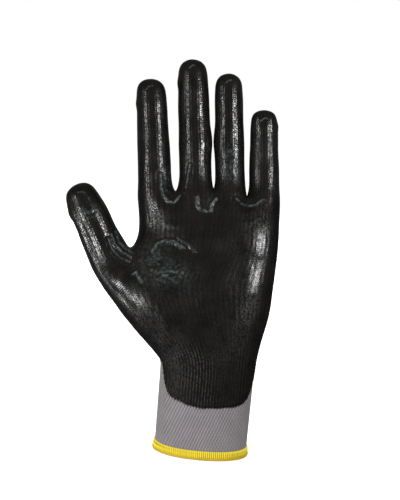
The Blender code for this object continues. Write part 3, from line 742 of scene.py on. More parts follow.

# A crumpled patch: many small folds, with a painted grey glint on them
Patch = namedtuple("Patch", "x z half_width half_height amount tint")
PATCHES = (
    Patch(-25, 52, 12, 6.5, 0.30, 0.5),
    Patch(-33, 60, 7, 8, 0.25, 0.30),
    Patch(13.5, 120, 3.5, 10, 0.10, 0.55),
    Patch(-27, 108, 2.5, 7, 0.08, 0.45),
    Patch(-72, 90, 4, 4, 0.12, 0.35),
)

# Round bumps on the outline: in the hand's frame, as x, y, z, radius and height
Bump = namedtuple("Bump", "x y z radius height")
BUMPS = (
    Bump(-44.4, -2, 157, 3.0, 0.6),
    Bump(-18.8, -2, 170, 3.4, 0.6),
    Bump(43, -2, 143, 3.0, 0.6),
    Bump(1.5, -1, 134, 8, 0.9),
    Bump(-82.5, -8, 80.5, 4.5, -1.3),
    Bump(-84, -9, 88, 5, 0.7),
)

# Smooth wrinkles: height, how far they are drawn out along the fingers, and size. The crumple is that of the
# patches, from another part of the noise
Wrinkle = namedtuple("Wrinkle", "height stretch size")
BROAD_WRINKLE = Wrinkle(0.32, 1.8, 9.0)
FINE_WRINKLE = Wrinkle(0.07, 3.0, 2.4)
CRUMPLE = Wrinkle(2.0, 1.2, 2.0)
CRUMPLE_START = 40
CRUMPLE_TINT = (0.08, 0.35)
PALM_SIDE = (0.05, 0.6)

# Fine rings where the film is gathered round the root of the thumb
THUMB_RINGS_CENTRE = (-52, 47)
THUMB_RINGS_PITCH = 1.7
THUMB_RINGS_START = (4.0, 6.0)
THUMB_RINGS_END = (8.0, 10.5)
THUMB_RINGS_SIDE = (-4, 4)
THUMB_RINGS_HEIGHT = 0.13

# A shallow valley across each finger at its joints
JOINT_VALLEY = 0.16
JOINT_VALLEY_WIDTH = 3.2
JOINT_VALLEY_REACH = (10, 13)


def line_distance(x, z, points):
    """Distance of each place from a line through some points."""
    best = np.full(len(x), 1e9)
    for (ax, az), (bx, bz) in zip(points, points[1:]):
        dx, dz = bx - ax, bz - az
        t = np.clip(((x - ax) * dx + (z - az) * dz) / (dx * dx + dz * dz), 0, 1)
        best = np.minimum(best, np.hypot(x - ax - t * dx, z - az - t * dz))
    return best


def wrinkles(places, kind):
    """Smooth noise over some places."""
    scaled = places / kind.size * np.array((1, 1, 1 / kind.stretch))
    return kind.height * np.array([noise.noise(Vector(place)) for place in scaled])


def tip_arcs():
    for finger in FINGERS.values():
        x, z = finger.tip_x / MM, finger.tip_z / MM - TIP_ARC_BELOW
        yield Crease(0.5, 0.14, 0.7, [(x + right, z + up) for right, up in TIP_ARC])


def relief(points, normals):
    """Height of the coating's relief in metres, and the share of painted glint on it, at each point of the
    skin.
    """
    places = to_hand(points) / MM
    facing = turned_to_hand(normals)
    x, y, z = places.T
    palm_side = smooth(-facing[:, 1], *PALM_SIDE)
    height = wrinkles(places, BROAD_WRINKLE) + wrinkles(places, FINE_WRINKLE)
    # The tint is a painted glint: a teal-grey painted reflection along crease ridges and over the crumples
    tint = np.zeros(len(x))
    for crease in (*CREASES, *tip_arcs()):
        away = line_distance(x, z, crease.points) / crease.width
        valley = np.exp(-((away - VALLEY_DISTANCE) / VALLEY_WIDTH) ** 2)
        height += palm_side * crease.height * (np.exp(-away ** 2) - VALLEY_DEPTH * valley)
        tint = np.maximum(tint, palm_side * crease.tint * np.exp(-(away / TINT_WIDTH) ** 2))
    crumple = np.abs(wrinkles(places + CRUMPLE_START, CRUMPLE))
    for patch in PATCHES:
        inside = palm_side * np.exp(
            -((x - patch.x) / patch.half_width) ** 2 - ((z - patch.z) / patch.half_height) ** 2)
        height += inside * patch.amount * crumple
        tint = np.maximum(tint, inside * patch.tint * smooth(crumple / CRUMPLE.height, *CRUMPLE_TINT))
    for bump in BUMPS:
        reach = ((x - bump.x) ** 2 + (y - bump.y) ** 2 + (z - bump.z) ** 2) / bump.radius ** 2
        height += bump.height * np.exp(-reach)
    ring = np.hypot(x - THUMB_RINGS_CENTRE[0], z - THUMB_RINGS_CENTRE[1])
    near = smooth(ring, *THUMB_RINGS_START) * (1 - smooth(ring, *THUMB_RINGS_END))
    near *= palm_side * smooth(x + z, *THUMB_RINGS_SIDE)
    height += near * THUMB_RINGS_HEIGHT * np.sin(math.tau * ring / THUMB_RINGS_PITCH)
    for name, finger in FINGERS.items():
        beside = 1 - smooth(np.abs(x - finger.root_x / MM), *JOINT_VALLEY_REACH)
        for part in ("middle", "tip"):
            level = joint_point(f"{name}_{part}").z / MM
            height -= JOINT_VALLEY * palm_side * beside * np.exp(-((z - level) / JOINT_VALLEY_WIDTH) ** 2)
    return height * MM, tint


def coat_reach(points, zones_of_points):
    """Signed distance inside the coating's edge: positive where the coating covers the skin."""
    places = to_hand(points)
    short_wave = np.sin(places[:, 2] / SHORT_WAVE + places[:, 0] / SHORT_WAVE_SLANT)
    wave = EDGE_WAVE * (np.sin(places[:, 2] / LONG_WAVE) + SHORT_WAVE_SHARE * short_wave)
    reach = COAT_WRAP + wave - places[:, 1]
    along, _, front = thumb_axes()
    thumb = zones_of_points == THUMB_ZONE
    root = np.array(THUMB_ROOT + Vector((0, COAT_WRAP - THUMB_ROOT.y, 0)))
    onward = (places - np.array(THUMB_ROOT)) @ np.array(along)
    share = smooth(onward, 0, THUMB_COAT_BLEND)
    thumb_reach = (places - root) @ np.array(front) + wave
    reach = np.where(thumb, blend(reach, thumb_reach, share), reach)
    ends = [(THUMB_ZONE, THUMB_TIP, along, front)]
    for zone, finger in enumerate(FINGERS.values(), start=1):
        ends.append((zone, finger_point(finger, 1), Vector(UP), Vector((0, -1, 0))))
    for zone, tip, along, front in ends:
        normal = np.array(along * math.cos(COAT_TIP_SLOPE) + front * math.sin(COAT_TIP_SLOPE))
        start = np.array(tip - along * COAT_TIP_LENGTH)
        digit = zones_of_points == zone
        reach = np.where(digit, np.maximum(reach, (places - start) @ normal), reach)
    return reach


def sleeve_reach(points, wale):
    """The same for the sleeve, where the coating ends in a tongue with teeth on each wale."""
    across = ((points[:, 0] - CUFF_CENTRE.x) / WRIST_HALF_WIDTH - TONGUE_SHIFT) / (1 - TONGUE_SHIFT)
    across = np.clip(across, -TONGUE_LIMIT, TONGUE_LIMIT)
    edge = TONGUE_BOTTOM + TONGUE_BOWL * across ** 2 + TONGUE_CORNER * across ** TONGUE_CORNER_POWER
    edge += TOOTH_HEIGHT * (2 * np.abs((TEETH_PER_WALE * wale % 1) - 0.5) - 0.5)
    for height, pace, start in TONGUE_WAVES:
        edge += height * np.sin(across * pace + start)
    places = to_hand(points)
    back = smooth(places[:, 1], *TONGUE_SIDE)
    side = COAT_WRAP + EDGE_WAVE * np.sin(places[:, 2] / LONG_WAVE) - places[:, 1]
    above = points[:, 2] - edge - TONGUE_SIDE_RISE * back
    share = np.clip(0.5 + (side - above) / (2 * TONGUE_ROUNDING), 0, 1)
    return blend(side, above, share) - TONGUE_ROUNDING * share * (1 - share)


def over_knit(offset, reach):
    """Hold the coating's outer face clear of the knit wherever the coating is at full thickness."""
    return np.maximum(offset, np.minimum(coat_offset(reach), COAT_LEAST))


def coat_offset(reach):
    """Height of the coating's outer face over the skin: it rises from inside the knit at its edge."""
    return blend(-COAT_SINK, COAT_RISE, smooth(reach, -COAT_EDGE_HALF, COAT_EDGE_HALF))


def point_zones(surface):
    zones = np.zeros(len(surface.points), int)
    for face, zone in zip(surface.faces, surface.zones):
        zones[face] = np.maximum(zones[face], zone)
    return zones


# One layer of the glove: the surface it follows, its two faces with their normals, and the painted glint of
# creases
Layer = namedtuple("Layer", "surface outer inner outer_normals inner_normals tint")


def layer(surface, normals, outer_offset, inner_offset, tint):
    outer = surface.points + normals * outer_offset[:, None]
    inner = surface.points + normals * inner_offset
    return Layer(surface, outer, inner, surface_normals(outer, surface.faces), -normals, tint)


def soft_piece(name, mesh, rest, tint, material):
    """Finish a smooth mesh as an object, with what its material reads at each point."""
    mesh.attributes.new("rest", "FLOAT_VECTOR", "POINT").data.foreach_set("vector", rest.ravel())
    # The crease attribute holds painted light: a painted glint on the coating, painted shade on the hem
    mesh.attributes.new("crease", "FLOAT", "POINT").data.foreach_set("value", tint)
    mesh.materials.append(material)
    mesh.shade_smooth()
    return new_object(name, mesh)


def make_shell(name, source, chosen, material):
    """Closed sheet between the two faces of a layer over the chosen faces."""
    surface = source.surface
    corners = [surface.faces[number] for number in chosen]
    places = [surface.places[number] for number in chosen]
    used = np.unique(np.concatenate(corners))
    renumber = np.zeros(len(surface.points), int)
    renumber[used] = np.arange(len(used))
    count = len(used)
    outer = [renumber[face].tolist() for face in corners]
    edges = {}
    for face, place in zip(outer, places):
        for i, start in enumerate(face):
            j = (i + 1) % len(face)
            edges[(start, face[j])] = (place[i], place[j])
    faces = outer + [[index + count for index in face[::-1]] for face in outer]
    spots = [spot for place in places for spot in place] + [spot for place in places for spot in place[::-1]]
    for (start, end), (start_spot, end_spot) in edges.items():
        if (end, start) not in edges:
            faces.append([end, start, start + count, end + count])
            spots += [end_spot, start_spot, start_spot, end_spot]
    mesh = bpy.data.meshes.new(name)
    mesh.from_pydata(np.concatenate([source.outer[used], source.inner[used]]), [], faces)
    mesh.uv_layers.new(name="knit").data.foreach_set("uv", np.array(spots).ravel())
    rest = np.tile(to_hand(surface.points[used]) / MM, (2, 1))
    tint = np.concatenate([source.tint[used], np.zeros(count)])
    piece = soft_piece(name, mesh, rest, tint, material)
    mesh.normals_split_custom_set_from_vertices(
        np.concatenate([source.outer_normals[used], source.inner_normals[used]]))
    return piece


def web_weights(piece):
    """Let the strip of palm above the web stay with the palm, though it is beside the thumb's fold."""
    mesh = piece.data
    rest = np.zeros(len(mesh.vertices) * 3)
    mesh.attributes["rest"].data.foreach_get("vector", rest)
    places = rest.reshape(-1, 3) * MM
    along = (places - np.array(THUMB_ROOT)) @ np.array(thumb_axes()[0])
    weights = np.zeros(len(mesh.vertices), np.float32)
    mesh.attributes["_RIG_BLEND"].data.foreach_get("value", weights)
    stay = smooth(places[:, 2], *WEB_FADE) * (1 - smooth(along, 0, WEB_THUMB_FADE))
    mesh.attributes["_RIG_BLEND"].data.foreach_set("value", (weights * (1 - stay)).astype(np.float32))


def place_piece(obj, piece, node):
    """Fix a finished mesh to the bodies that it moves with."""
    if len(piece.bodies) == 2:
        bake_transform(obj, *piece.bodies, start=piece.start, end=piece.end)
        if piece.name == "thumb_web":
            web_weights(obj)
    else:
        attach(obj, piece.bodies[0])
    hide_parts(node)


class Shading:
    """Short way to wire a material: its methods return sockets that other methods take."""

    def __init__(self, name, **inputs):
        self.material = bpy.data.materials.new(name)
        self.material.use_nodes = True
        self.tree = self.material.node_tree
        self.shader = self.tree.nodes["Principled BSDF"]
        self.fill(self.shader, inputs)

    def feed(self, socket, value):
        """Link an input to another node's output, or give it a value of its own."""
        if isinstance(value, bpy.types.NodeSocket):
            self.tree.links.new(value, socket)
        else:
            socket.default_value = (*value, 1) if socket.type == "RGBA" else value

    def fill(self, node, inputs):
        for label, value in inputs.items():
            self.feed(node.inputs[label.replace("_", " ")], value)

    def finish(self, **inputs):
        self.fill(self.shader, inputs)
        return self.material

    def node(self, kind, settings, **inputs):
        node = self.tree.nodes.new(f"ShaderNode{kind}")
        for name, setting in settings.items():
            setattr(node, name, setting)
        self.fill(node, inputs)
        return node

    def attribute(self, name, output="Fac"):
        return self.node("Attribute", {"attribute_name": name}).outputs[output]

    def knit_place(self):
        """Wales and courses at a point, as two sockets."""
        place = self.node("UVMap", {"uv_map": "knit"}).outputs["UV"]
        return self.part(place, "X"), self.part(place, "Y")

    def part(self, vector, axis):
        return self.node("SeparateXYZ", {}, Vector=vector).outputs[axis]

    def math(self, operation, *values):
        node = self.node("Math", {"operation": operation})
        for socket, value in zip(node.inputs, values):
            self.feed(socket, value)
        return node.outputs[0]

    def times(self, value, *others):
        for other in others:
            value = self.math("MULTIPLY", value, other)
        return value

    def scale(self, value, factor, start):
        return self.math("MULTIPLY_ADD", value, factor, start)

    def inverse(self, value):
        return self.math("SUBTRACT", 1.0, value)

    def wave(self, value, turns=1.0):
        """A smooth wave between 0 and 1 with a period of one."""
        return self.scale(self.math("SINE", self.times(value, math.tau * turns)), 0.5, 0.5)

    def groove(self, place, width, depth):
        """A dark groove wherever a place in the knit is a whole number."""
        return self.ramp(self.math("PINGPONG", place, 0.5), 0.0, width, depth, 0.0)

    def noise(self, place, scale, detail=2.0, stretch=1.0):
        mapped = self.node("Mapping", {}, Vector=place, Scale=(1, 1, 1 / stretch)).outputs[0]
        return self.node("TexNoise", {}, Vector=mapped, Scale=scale, Detail=detail).outputs["Fac"]

    def pattern(self, place, pattern):
        return self.ramp(self.noise(place, pattern.scale, pattern.detail), *pattern[2:])

    def distance(self, place, point):
        node = self.node("VectorMath", {"operation": "DISTANCE"})
        self.feed(node.inputs[0], place)
        self.feed(node.inputs[1], point)
        return node.outputs["Value"]

    def cells(self, place, scale):
        return self.node("TexVoronoi", {}, Vector=place, Scale=scale).outputs["Distance"]

    def ramp(self, value, start, end, low=0.0, high=1.0):
        node = self.node("MapRange", {"interpolation_type": "SMOOTHSTEP"}, Value=value)
        self.fill(node, {"From_Min": start, "From_Max": end, "To_Min": low, "To_Max": high})
        return node.outputs["Result"]

    def fall(self, value, start, end):
        return self.ramp(value, start, end, 1.0, 0.0)

    def mix(self, share, low, high):
        node = self.node("Mix", {"data_type": "RGBA"})
        colours = [socket for socket in node.inputs if socket.type == "RGBA"]
        for socket, value in zip((node.inputs[0], *colours), (share, low, high)):
            self.feed(socket, value)
        return node.outputs[2]

    def bumps(self, *reliefs):
        """The normal after some reliefs, each a height and the distance that it stands for."""
        normal = None
        for height, distance in reliefs:
            node = self.node("Bump", {}, Height=height, Distance=distance)
            if normal is not None:
                self.feed(node.inputs["Normal"], normal)
            normal = node.outputs["Normal"]
        return normal


# A pattern is a noise with a ramp over its values
Pattern = namedtuple("Pattern", "scale detail start end low high", defaults=(0.0, 1.0))

# Coating: colours of the film, of the painted glint along its creases and of the dust on it
FILM_DARK = (0.0040, 0.0037, 0.0035)
FILM_LIGHT = (0.0072, 0.0062, 0.0054)
FILM_PAINTED_GLINT = (0.095, 0.128, 0.120)
FILM_DUST = (0.20, 0.21, 0.20)
DUST_SHARE = 0.02

# Where the film is thick, light or dull, and where the painted glint along a crease breaks off
THICK_FILM = Pattern(0.09, 2.0, 0.42, 0.62)
LIGHT_FILM = Pattern(0.11, 3.0, 0.35, 0.65)
DULL_FILM = Pattern(0.05, 1.0, 0.40, 0.68)
BROKEN_TINT = Pattern(0.55, 3.0, 0.36, 0.6, 0.15, 1.0)

# Speckle: scale, detail and stretch of its noise, and the values of it that are pinholes and dust
SPECKLE = (1.05, 2.0, 1.5)
PINHOLES = (0.47, 0.58)
DUST = (0.62, 0.78)
PIT_SCALE = 1.15

# Share of the grain that each course adds to its wale, and how far thick and shiny film smooth it out
GRAIN_COURSE = (0.35, 0.65)
THICK_SMOOTHING = -0.6
SHINE_SMOOTHING = -0.6

# Gloss of the film, and what pinholes, the knit's grain and the shiny places do to it
FILM_ROUGHNESS = 0.20
FILM_GLOSS = 0.42
PINHOLE_ROUGHNESS = 0.08
PINHOLE_GLOSS = -0.32
GRAIN_GLOSS = 0.22
SHINE_GLOSS = -0.4
DULL_ROUGHNESS = 0.10

# Matt places: the heel of the hand below some height, and the flank below the little finger
HEEL_MATT = (18, 68)
FLANK_SIDE = (8, 22)
FLANK_TOP = (94, 106)
MATT_ROUGHNESS = 0.22
MATT_GLOSS = -0.72

# Heights that the film's grain, speckle and pits stand for
GRAIN_DEPTH = 0.05 * MM
SPECKLE_DEPTH = 0.09 * MM
PIT_DEPTH = 0.03 * MM

# Fine slanting lines where the film is drawn over the root of the thumb
DRAWN_LINES = (-53.5, -15, 44)
DRAWN_LINES_PER_MM = 0.55
DRAWN_LINES_REACH = (4, 8)
DRAWN_LINES_GLOSS = 0.7
DRAWN_LINES_HOLLOW = -0.9

# Places where the film is thick and shines most, as centre and radius in the hand's own frame
SHINY_PLACES = (
    (-54, -15, 45, 13), (-48, -15, 34, 10),
    (34, -10, 71, 10), (30, -11, 52, 12), (20, -11, 94, 10),
)

# Noise by which the borders of the shiny places wander, how far for its whole range, and how they fade
SHINY_NOISE = (0.16, 3.0)
SHINY_WANDER = 26.0
SHINY_FADE = (0.3, 1.25)


def shiny(make, rest):
    """How far each point is inside one of the shiny places."""
    nearest = 0.0
    wander = make.times(make.math("SUBTRACT", make.noise(rest, *SHINY_NOISE), 0.5), SHINY_WANDER)
    for x, y, z, radius in SHINY_PLACES:
        away = make.math("ADD", make.distance(rest, (x, y, z)), wander)
        near = make.fall(away, *(share * radius for share in SHINY_FADE))
        nearest = make.math("MAXIMUM", near, nearest)
    return nearest


def drawn_lines(make, rest):
    """What the drawn lines do to the gloss, as a factor."""
    lines = make.wave(make.math("SUBTRACT", make.part(rest, "X"), make.part(rest, "Z")), DRAWN_LINES_PER_MM)
    near = make.fall(make.distance(rest, DRAWN_LINES), *DRAWN_LINES_REACH)
    hollow = make.scale(make.times(near, make.inverse(lines)), DRAWN_LINES_HOLLOW, 1.0)
    return make.times(make.scale(near, DRAWN_LINES_GLOSS, 1.0), hollow)


def coating_material():
    """Dipped nitrile: near-black film, glossy where it is thick and grained by the knit under it."""
    make = Shading("coating")
    rest = make.attribute("rest", "Vector")
    height = make.part(rest, "Z")
    wales, courses = make.knit_place()
    speckle = make.noise(rest, *SPECKLE)
    film = make.pattern(rest, THICK_FILM)
    grain = make.times(make.wave(wales), make.scale(make.wave(courses), *GRAIN_COURSE))
    grain = make.times(grain, make.scale(film, THICK_SMOOTHING, 1.0))
    shine = shiny(make, rest)
    heel = make.fall(height, *HEEL_MATT)
    flank = make.times(make.ramp(make.part(rest, "X"), *FLANK_SIDE), make.fall(height, *FLANK_TOP))
    matt = make.times(make.math("MAXIMUM", heel, flank), make.inverse(shine))
    film_break = make.scale(shine, SHINE_SMOOTHING, 1.0)
    pinholes = make.times(make.ramp(speckle, *PINHOLES), film_break)

    dark = make.mix(make.pattern(rest, LIGHT_FILM), FILM_DARK, FILM_LIGHT)
    broken = make.pattern(rest, BROKEN_TINT)
    # Painted glint: the crease attribute mixes a teal-grey painted reflection into the film's colour
    colour = make.mix(make.times(make.attribute("crease"), broken), dark, FILM_PAINTED_GLINT)
    colour = make.mix(make.times(make.ramp(speckle, *DUST), DUST_SHARE), colour, FILM_DUST)

    dull = make.pattern(rest, DULL_FILM)
    roughness = make.scale(pinholes, PINHOLE_ROUGHNESS, FILM_ROUGHNESS)
    roughness = make.scale(dull, DULL_ROUGHNESS, roughness)
    roughness = make.scale(matt, MATT_ROUGHNESS, roughness)
    gloss = make.scale(grain, GRAIN_GLOSS, make.scale(pinholes, PINHOLE_GLOSS, FILM_GLOSS))
    gloss = make.times(gloss, make.scale(shine, SHINE_GLOSS, 1.0), make.scale(matt, MATT_GLOSS, 1.0))
    gloss = make.times(gloss, drawn_lines(make, rest))
    specks = make.times(speckle, film_break)
    pits = make.cells(rest, PIT_SCALE)
    normal = make.bumps((grain, GRAIN_DEPTH), (specks, SPECKLE_DEPTH), (pits, PIT_DEPTH))
    return make.finish(Base_Color=colour, Roughness=roughness, Specular_IOR_Level=gloss, Normal=normal)


# Knit: colours of the yarn and of the grooves, shaded patches and fibres, the height over which the sleeve's
# slanting stitches turn into the hand's plain ones, and depths of the stitches and of the fibres
YARN_DARK = (0.205, 0.189, 0.197)
YARN_LIGHT = (0.30, 0.277, 0.287)
YARN_SHADED = (0.18, 0.165, 0.174)
YARN_GROOVE = (0.036, 0.033, 0.040)
SHADED_PATCHES = Pattern(0.12, 2.0, 0.3, 0.7, 0.0, 0.35)
YARN_FIBRE = (5.0, 3.0, 2.0)
SLEEVE_TOP = (-16, 0)
STITCH_DEPTH = 0.30 * MM
FIBRE_DEPTH = 0.10 * MM
PLAIN_LEG_SLANT = 1.6

# Width and depth of the grooves beside the legs of a stitch, and between plain wales and courses
RIGHT_LEG_GROOVE = (0.16, 0.95)
LEFT_LEG_GROOVE = (0.14, 0.6)
PLAIN_WALE_GROOVE = (0.16, 0.9)
PLAIN_LEG_GROOVE = (0.2, 0.6)


def knit_material():
    """Grey-lilac yarn: slanting stitches in wales, with a dark groove between one wale and the next."""
    make = Shading("knit", Sheen_Weight=0.35, Sheen_Roughness=0.5, Specular_IOR_Level=0.25)
    rest = make.attribute("rest", "Vector")
    wales, courses = make.knit_place()
    right_leg = make.math("SUBTRACT", wales, make.math("DIVIDE", courses, RIGHT_LEG_COURSES))
    left_leg = make.math("ADD", wales, make.math("DIVIDE", courses, LEFT_LEG_COURSES))
    right_groove = make.groove(right_leg, *RIGHT_LEG_GROOVE)
    slanting = make.math("MAXIMUM", right_groove, make.groove(left_leg, *LEFT_LEG_GROOVE))
    plain_leg = make.scale(make.math("PINGPONG", wales, 0.5), PLAIN_LEG_SLANT, courses)
    wale_groove = make.groove(wales, *PLAIN_WALE_GROOVE)
    plain = make.math("MAXIMUM", wale_groove, make.groove(plain_leg, *PLAIN_LEG_GROOVE))
    sleeve = make.fall(make.part(rest, "Z"), *SLEEVE_TOP)
    shade = make.scale(slanting, sleeve, make.times(plain, make.inverse(sleeve)))
    fibre = make.noise(rest, *YARN_FIBRE)
    light = make.mix(fibre, YARN_DARK, YARN_LIGHT)
    light = make.mix(make.pattern(rest, SHADED_PATCHES), light, YARN_SHADED)
    normal = make.bumps((make.inverse(shade), STITCH_DEPTH), (fibre, FIBRE_DEPTH))
    return make.finish(Base_Color=make.mix(shade, light, YARN_GROOVE), Roughness=0.85, Normal=normal)


THREAD_BRIGHT = ((0.84, 0.70, 0.012), (1.0, 0.88, 0.040))
THREAD_WORN = (0.84, 0.66, 0.010)
THREAD_PAINTED_SHADE = (0.42, 0.22, 0.004)
WORN_PATCHES = Pattern(0.25, 2.0, 0.35, 0.7, 0.0, 0.4)
THREAD_FIBRE = (4.0, 3.0)
THREAD_FIBRE_DEPTH = 0.12 * MM


def thread_material():
    """Yellow overlock thread, with painted shade in the hollows and towards the lower edge, and darker in
    patches.
    """
    make = Shading("binding", Sheen_Weight=0.3, Specular_IOR_Level=0.3)
    rest = make.attribute("rest", "Vector")
    fibre = make.noise(rest, *THREAD_FIBRE)
    bright = make.mix(fibre, *THREAD_BRIGHT)
    bright = make.mix(make.pattern(rest, WORN_PATCHES), bright, THREAD_WORN)
    # The crease attribute darkens the thread: painted shade in the hollows and towards the lower edge, and a
    # tone that differs from thread to thread
    colour = make.mix(make.attribute("crease"), bright, THREAD_PAINTED_SHADE)
    return make.finish(Base_Color=colour, Roughness=0.7, Normal=make.bumps((fibre, THREAD_FIBRE_DEPTH)))


RUBBER_COLOURS = ((0.50, 0.48, 0.43), (0.66, 0.63, 0.56))
RUBBER_SPECK = (1.2, 3.0)
RUBBER_ROUGHNESS = (0.3, 0.7, 0.5, 0.7)
RUBBER_SPECK_DEPTH = 0.08 * MM


def elastic_material():
    make = Shading("elastic", Specular_IOR_Level=0.4)
    speck = make.noise(make.attribute("rest", "Vector"), *RUBBER_SPECK)
    colour = make.mix(speck, *RUBBER_COLOURS)
    roughness = make.ramp(speck, *RUBBER_ROUGHNESS)
    return make.finish(Base_Color=colour, Roughness=roughness, Normal=make.bumps((speck, RUBBER_SPECK_DEPTH)))


# Hem: a band round the cuff's lower edge
HEM_HEIGHT = 6.4 * MM
HEM_THICKNESS = 0.75 * MM
HEM_GAP = 0.35 * MM
BAND_POINTS = 18
BAND_RINGS = 240
BAND_POWERS = (0.5, 0.4)
BAND_FILL = 0.45
BAND_INSET = 0.4 * MM
BAND_SHADE = 0.9

# Slanting threads wrapped round the band. Each goes down the outside, round the lower edge and up the inside,
# and its ends are tucked in
THREAD_RADIUS = 0.46 * MM
THREAD_COUNT = 132
THREAD_SLANT = 1.0
THREAD_DROP = 0.45 * MM
THREAD_POINTS = 15
THREAD_SIDES = 6
THREAD_PUFF = 0.35 * MM
THREAD_DOWN_SHARE = 0.4
THREAD_UP_SHARE = 0.6
THREAD_LEAN = 0.25
THREAD_TUCK = 0.4 * MM
THREAD_LIFT = 0.10 * MM
THREAD_LIFT_PACE = 0.73
THREAD_LIFT_PLACE = (0.5, 2)
THREAD_SHADES = (0, 0.06, 0.12)

# Chain of stitches along the lower edge, and the shade that gathers there
CHAIN_RADIUS = 0.36 * MM
CHAIN_PERIODS = 96
CHAIN_POINTS = 8
CHAIN_HEIGHT = 1.15 * MM
CHAIN_SWING = 0.55 * MM
CHAIN_OUT = 0.20 * MM
CHAIN_SWAY = 0.12 * MM
CHAIN_SHADE = 0.05
HEM_LOW_SHADE = 0.8
HEM_SHADE_SPAN = mm(0.8, 3.4)

# Elastic laid inside the ribbing
ELASTIC_RADIUS = 0.35 * MM
ELASTIC_PITCH = 6.0 * MM
ELASTIC_BOTTOM = 10.0 * MM
ELASTIC_TURNS = 5
ELASTIC_SIDES = 8
ELASTIC_STEPS = 120


# Turn over which the loop's direction is measured
LOOP_AHEAD = 0.002


class Loop:
    """The cuff's lower edge as a closed smooth curve with outward directions."""

    def __init__(self, surface):
        ring = surface.points[:SLEEVE_COLUMNS]
        self.ring = np.vstack([ring, ring[:1]])
        steps = np.linalg.norm(np.diff(self.ring, axis=0), axis=1)
        self.lengths = np.concatenate([[0], np.cumsum(steps)])

    def place(self, turn):
        where = (turn % 1) * self.lengths[-1]
        return [np.interp(where, self.lengths, self.ring[:, axis]) for axis in (0, 1)]

    def at(self, turn, spread=1.0, depth_spread=1.0):
        """Point at z = 0 and outward direction after a number of turns."""
        x, y = self.place(turn)
        ahead_x, ahead_y = self.place(turn + LOOP_AHEAD)
        centre = CUFF_CENTRE
        point = Vector((centre.x + (x - centre.x) * spread, centre.y + (y - centre.y) * depth_spread, 0))
        return point, Vector((ahead_y - y, x - ahead_x, 0)).normalized()


# A tube's ring is turned from the upright, or from another direction where the tube itself is nearly upright
TUBE_UPRIGHT = 0.2
TUBE_SIDE = Vector((math.cos(1.1), math.sin(1.1), 0))


class Yarns:
    """A mesh of rings of points, with a shade for each point."""

    def __init__(self):
        self.verts = []
        self.faces = []
        self.shades = []

    def loft(self, rings, closed, shade):
        """Join some rings of points, end to end if closed and with caps if not."""
        first = len(self.verts)
        sides = len(rings[0])
        self.verts += [point for ring in rings for point in ring]
        self.shades += [shade] * (len(rings) * sides)
        for i in range(len(rings) if closed else len(rings) - 1):
            low, high = first + i * sides, first + (i + 1) % len(rings) * sides
            for k in range(sides):
                n = (k + 1) % sides
                self.faces.append((low + k, low + n, high + n, high + k))
        if not closed:
            self.faces.append(tuple(range(first, first + sides))[::-1])
            self.faces.append(tuple(range(len(self.verts) - sides, len(self.verts))))

    def tube(self, points, radius, sides, closed, shade=0.0):
        """Add a round tube along some points."""
        rings = []
        for i, point in enumerate(points):
            before = points[i - 1] if i or closed else point
            after = points[(i + 1) % len(points)] if i < len(points) - 1 or closed else point
            tangent = (after - before).normalized()
            side = tangent.cross(Vector(UP))
            if side.length < TUBE_UPRIGHT:
                side = tangent.cross(TUBE_SIDE)
            side.normalize()
            other = side.cross(tangent)
            rings.append([])
            for k in range(sides):
                angle = math.tau * k / sides
                rings[-1].append(point + (side * math.cos(angle) + other * math.sin(angle)) * radius)
        self.loft(rings, closed, shade)

    def piece(self, name, material):
        mesh = bpy.data.meshes.new(name)
        mesh.from_pydata(self.verts, [], self.faces)
        bm = bmesh.new()
        bm.from_mesh(mesh)
        bmesh.ops.recalc_face_normals(bm, faces=bm.faces)
        bm.to_mesh(mesh)
        bm.free()
        return soft_piece(name, mesh, to_hand(np.array(self.verts)) / MM, self.shades, material)


def thread_path(turn, loop, lift, rise):
    """Centre line of one thread, shifted outward by its lift; its lower turn stays above its rise."""
    inner = -LINER_THICKNESS - HEM_GAP - HEM_THICKNESS + THREAD_RADIUS
    outer = HEM_GAP + HEM_THICKNESS - THREAD_RADIUS + lift
    top = HEM_HEIGHT - THREAD_RADIUS
    turn_radius = (outer - inner) / 2
    points = []
    for step in range(THREAD_POINTS):
        share = step / (THREAD_POINTS - 1)
        point, outward = loop.at(turn + THREAD_SLANT * (share - THREAD_LEAN) / THREAD_COUNT)
        if share < THREAD_DOWN_SHARE:
            part = share / THREAD_DOWN_SHARE
            offset = outer + THREAD_PUFF * math.sin(math.pi * part)
            height = blend(top, turn_radius, part)
        elif share < THREAD_UP_SHARE:
            angle = math.pi * (share - THREAD_DOWN_SHARE) / (THREAD_UP_SHARE - THREAD_DOWN_SHARE)
            offset = (outer + inner) / 2 + turn_radius * math.cos(angle)
            height = turn_radius * (1 - math.sin(angle))
        else:
            offset = inner
            height = blend(turn_radius, top, (share - THREAD_UP_SHARE) / (1 - THREAD_UP_SHARE))
        if step == 0:
            offset -= THREAD_TUCK
        elif step == THREAD_POINTS - 1:
            offset += THREAD_TUCK
        height = THREAD_RADIUS + max(height, rise) * (1 - THREAD_RADIUS / top)
        points.append(point + outward * offset + Vector((0, 0, height)))
    return points


def signed_power(value, power):
    return math.copysign(abs(value) ** power, value)


def band_ring(loop, turn):
    """One section of the band: a rounded rectangle that closes round the liner's lower edge."""
    point, outward = loop.at(turn)
    half = LINER_THICKNESS / 2 + HEM_GAP + HEM_THICKNESS * BAND_FILL
    ring = []
    for k in range(BAND_POINTS):
        angle = math.tau * k / BAND_POINTS
        offset = -LINER_THICKNESS / 2 + half * signed_power(math.cos(angle), BAND_POWERS[0])
        height = (HEM_HEIGHT / 2 - BAND_INSET) * signed_power(math.sin(angle), BAND_POWERS[1])
        ring.append(point + outward * offset + Vector((0, 0, HEM_HEIGHT / 2 + height)))
    return ring


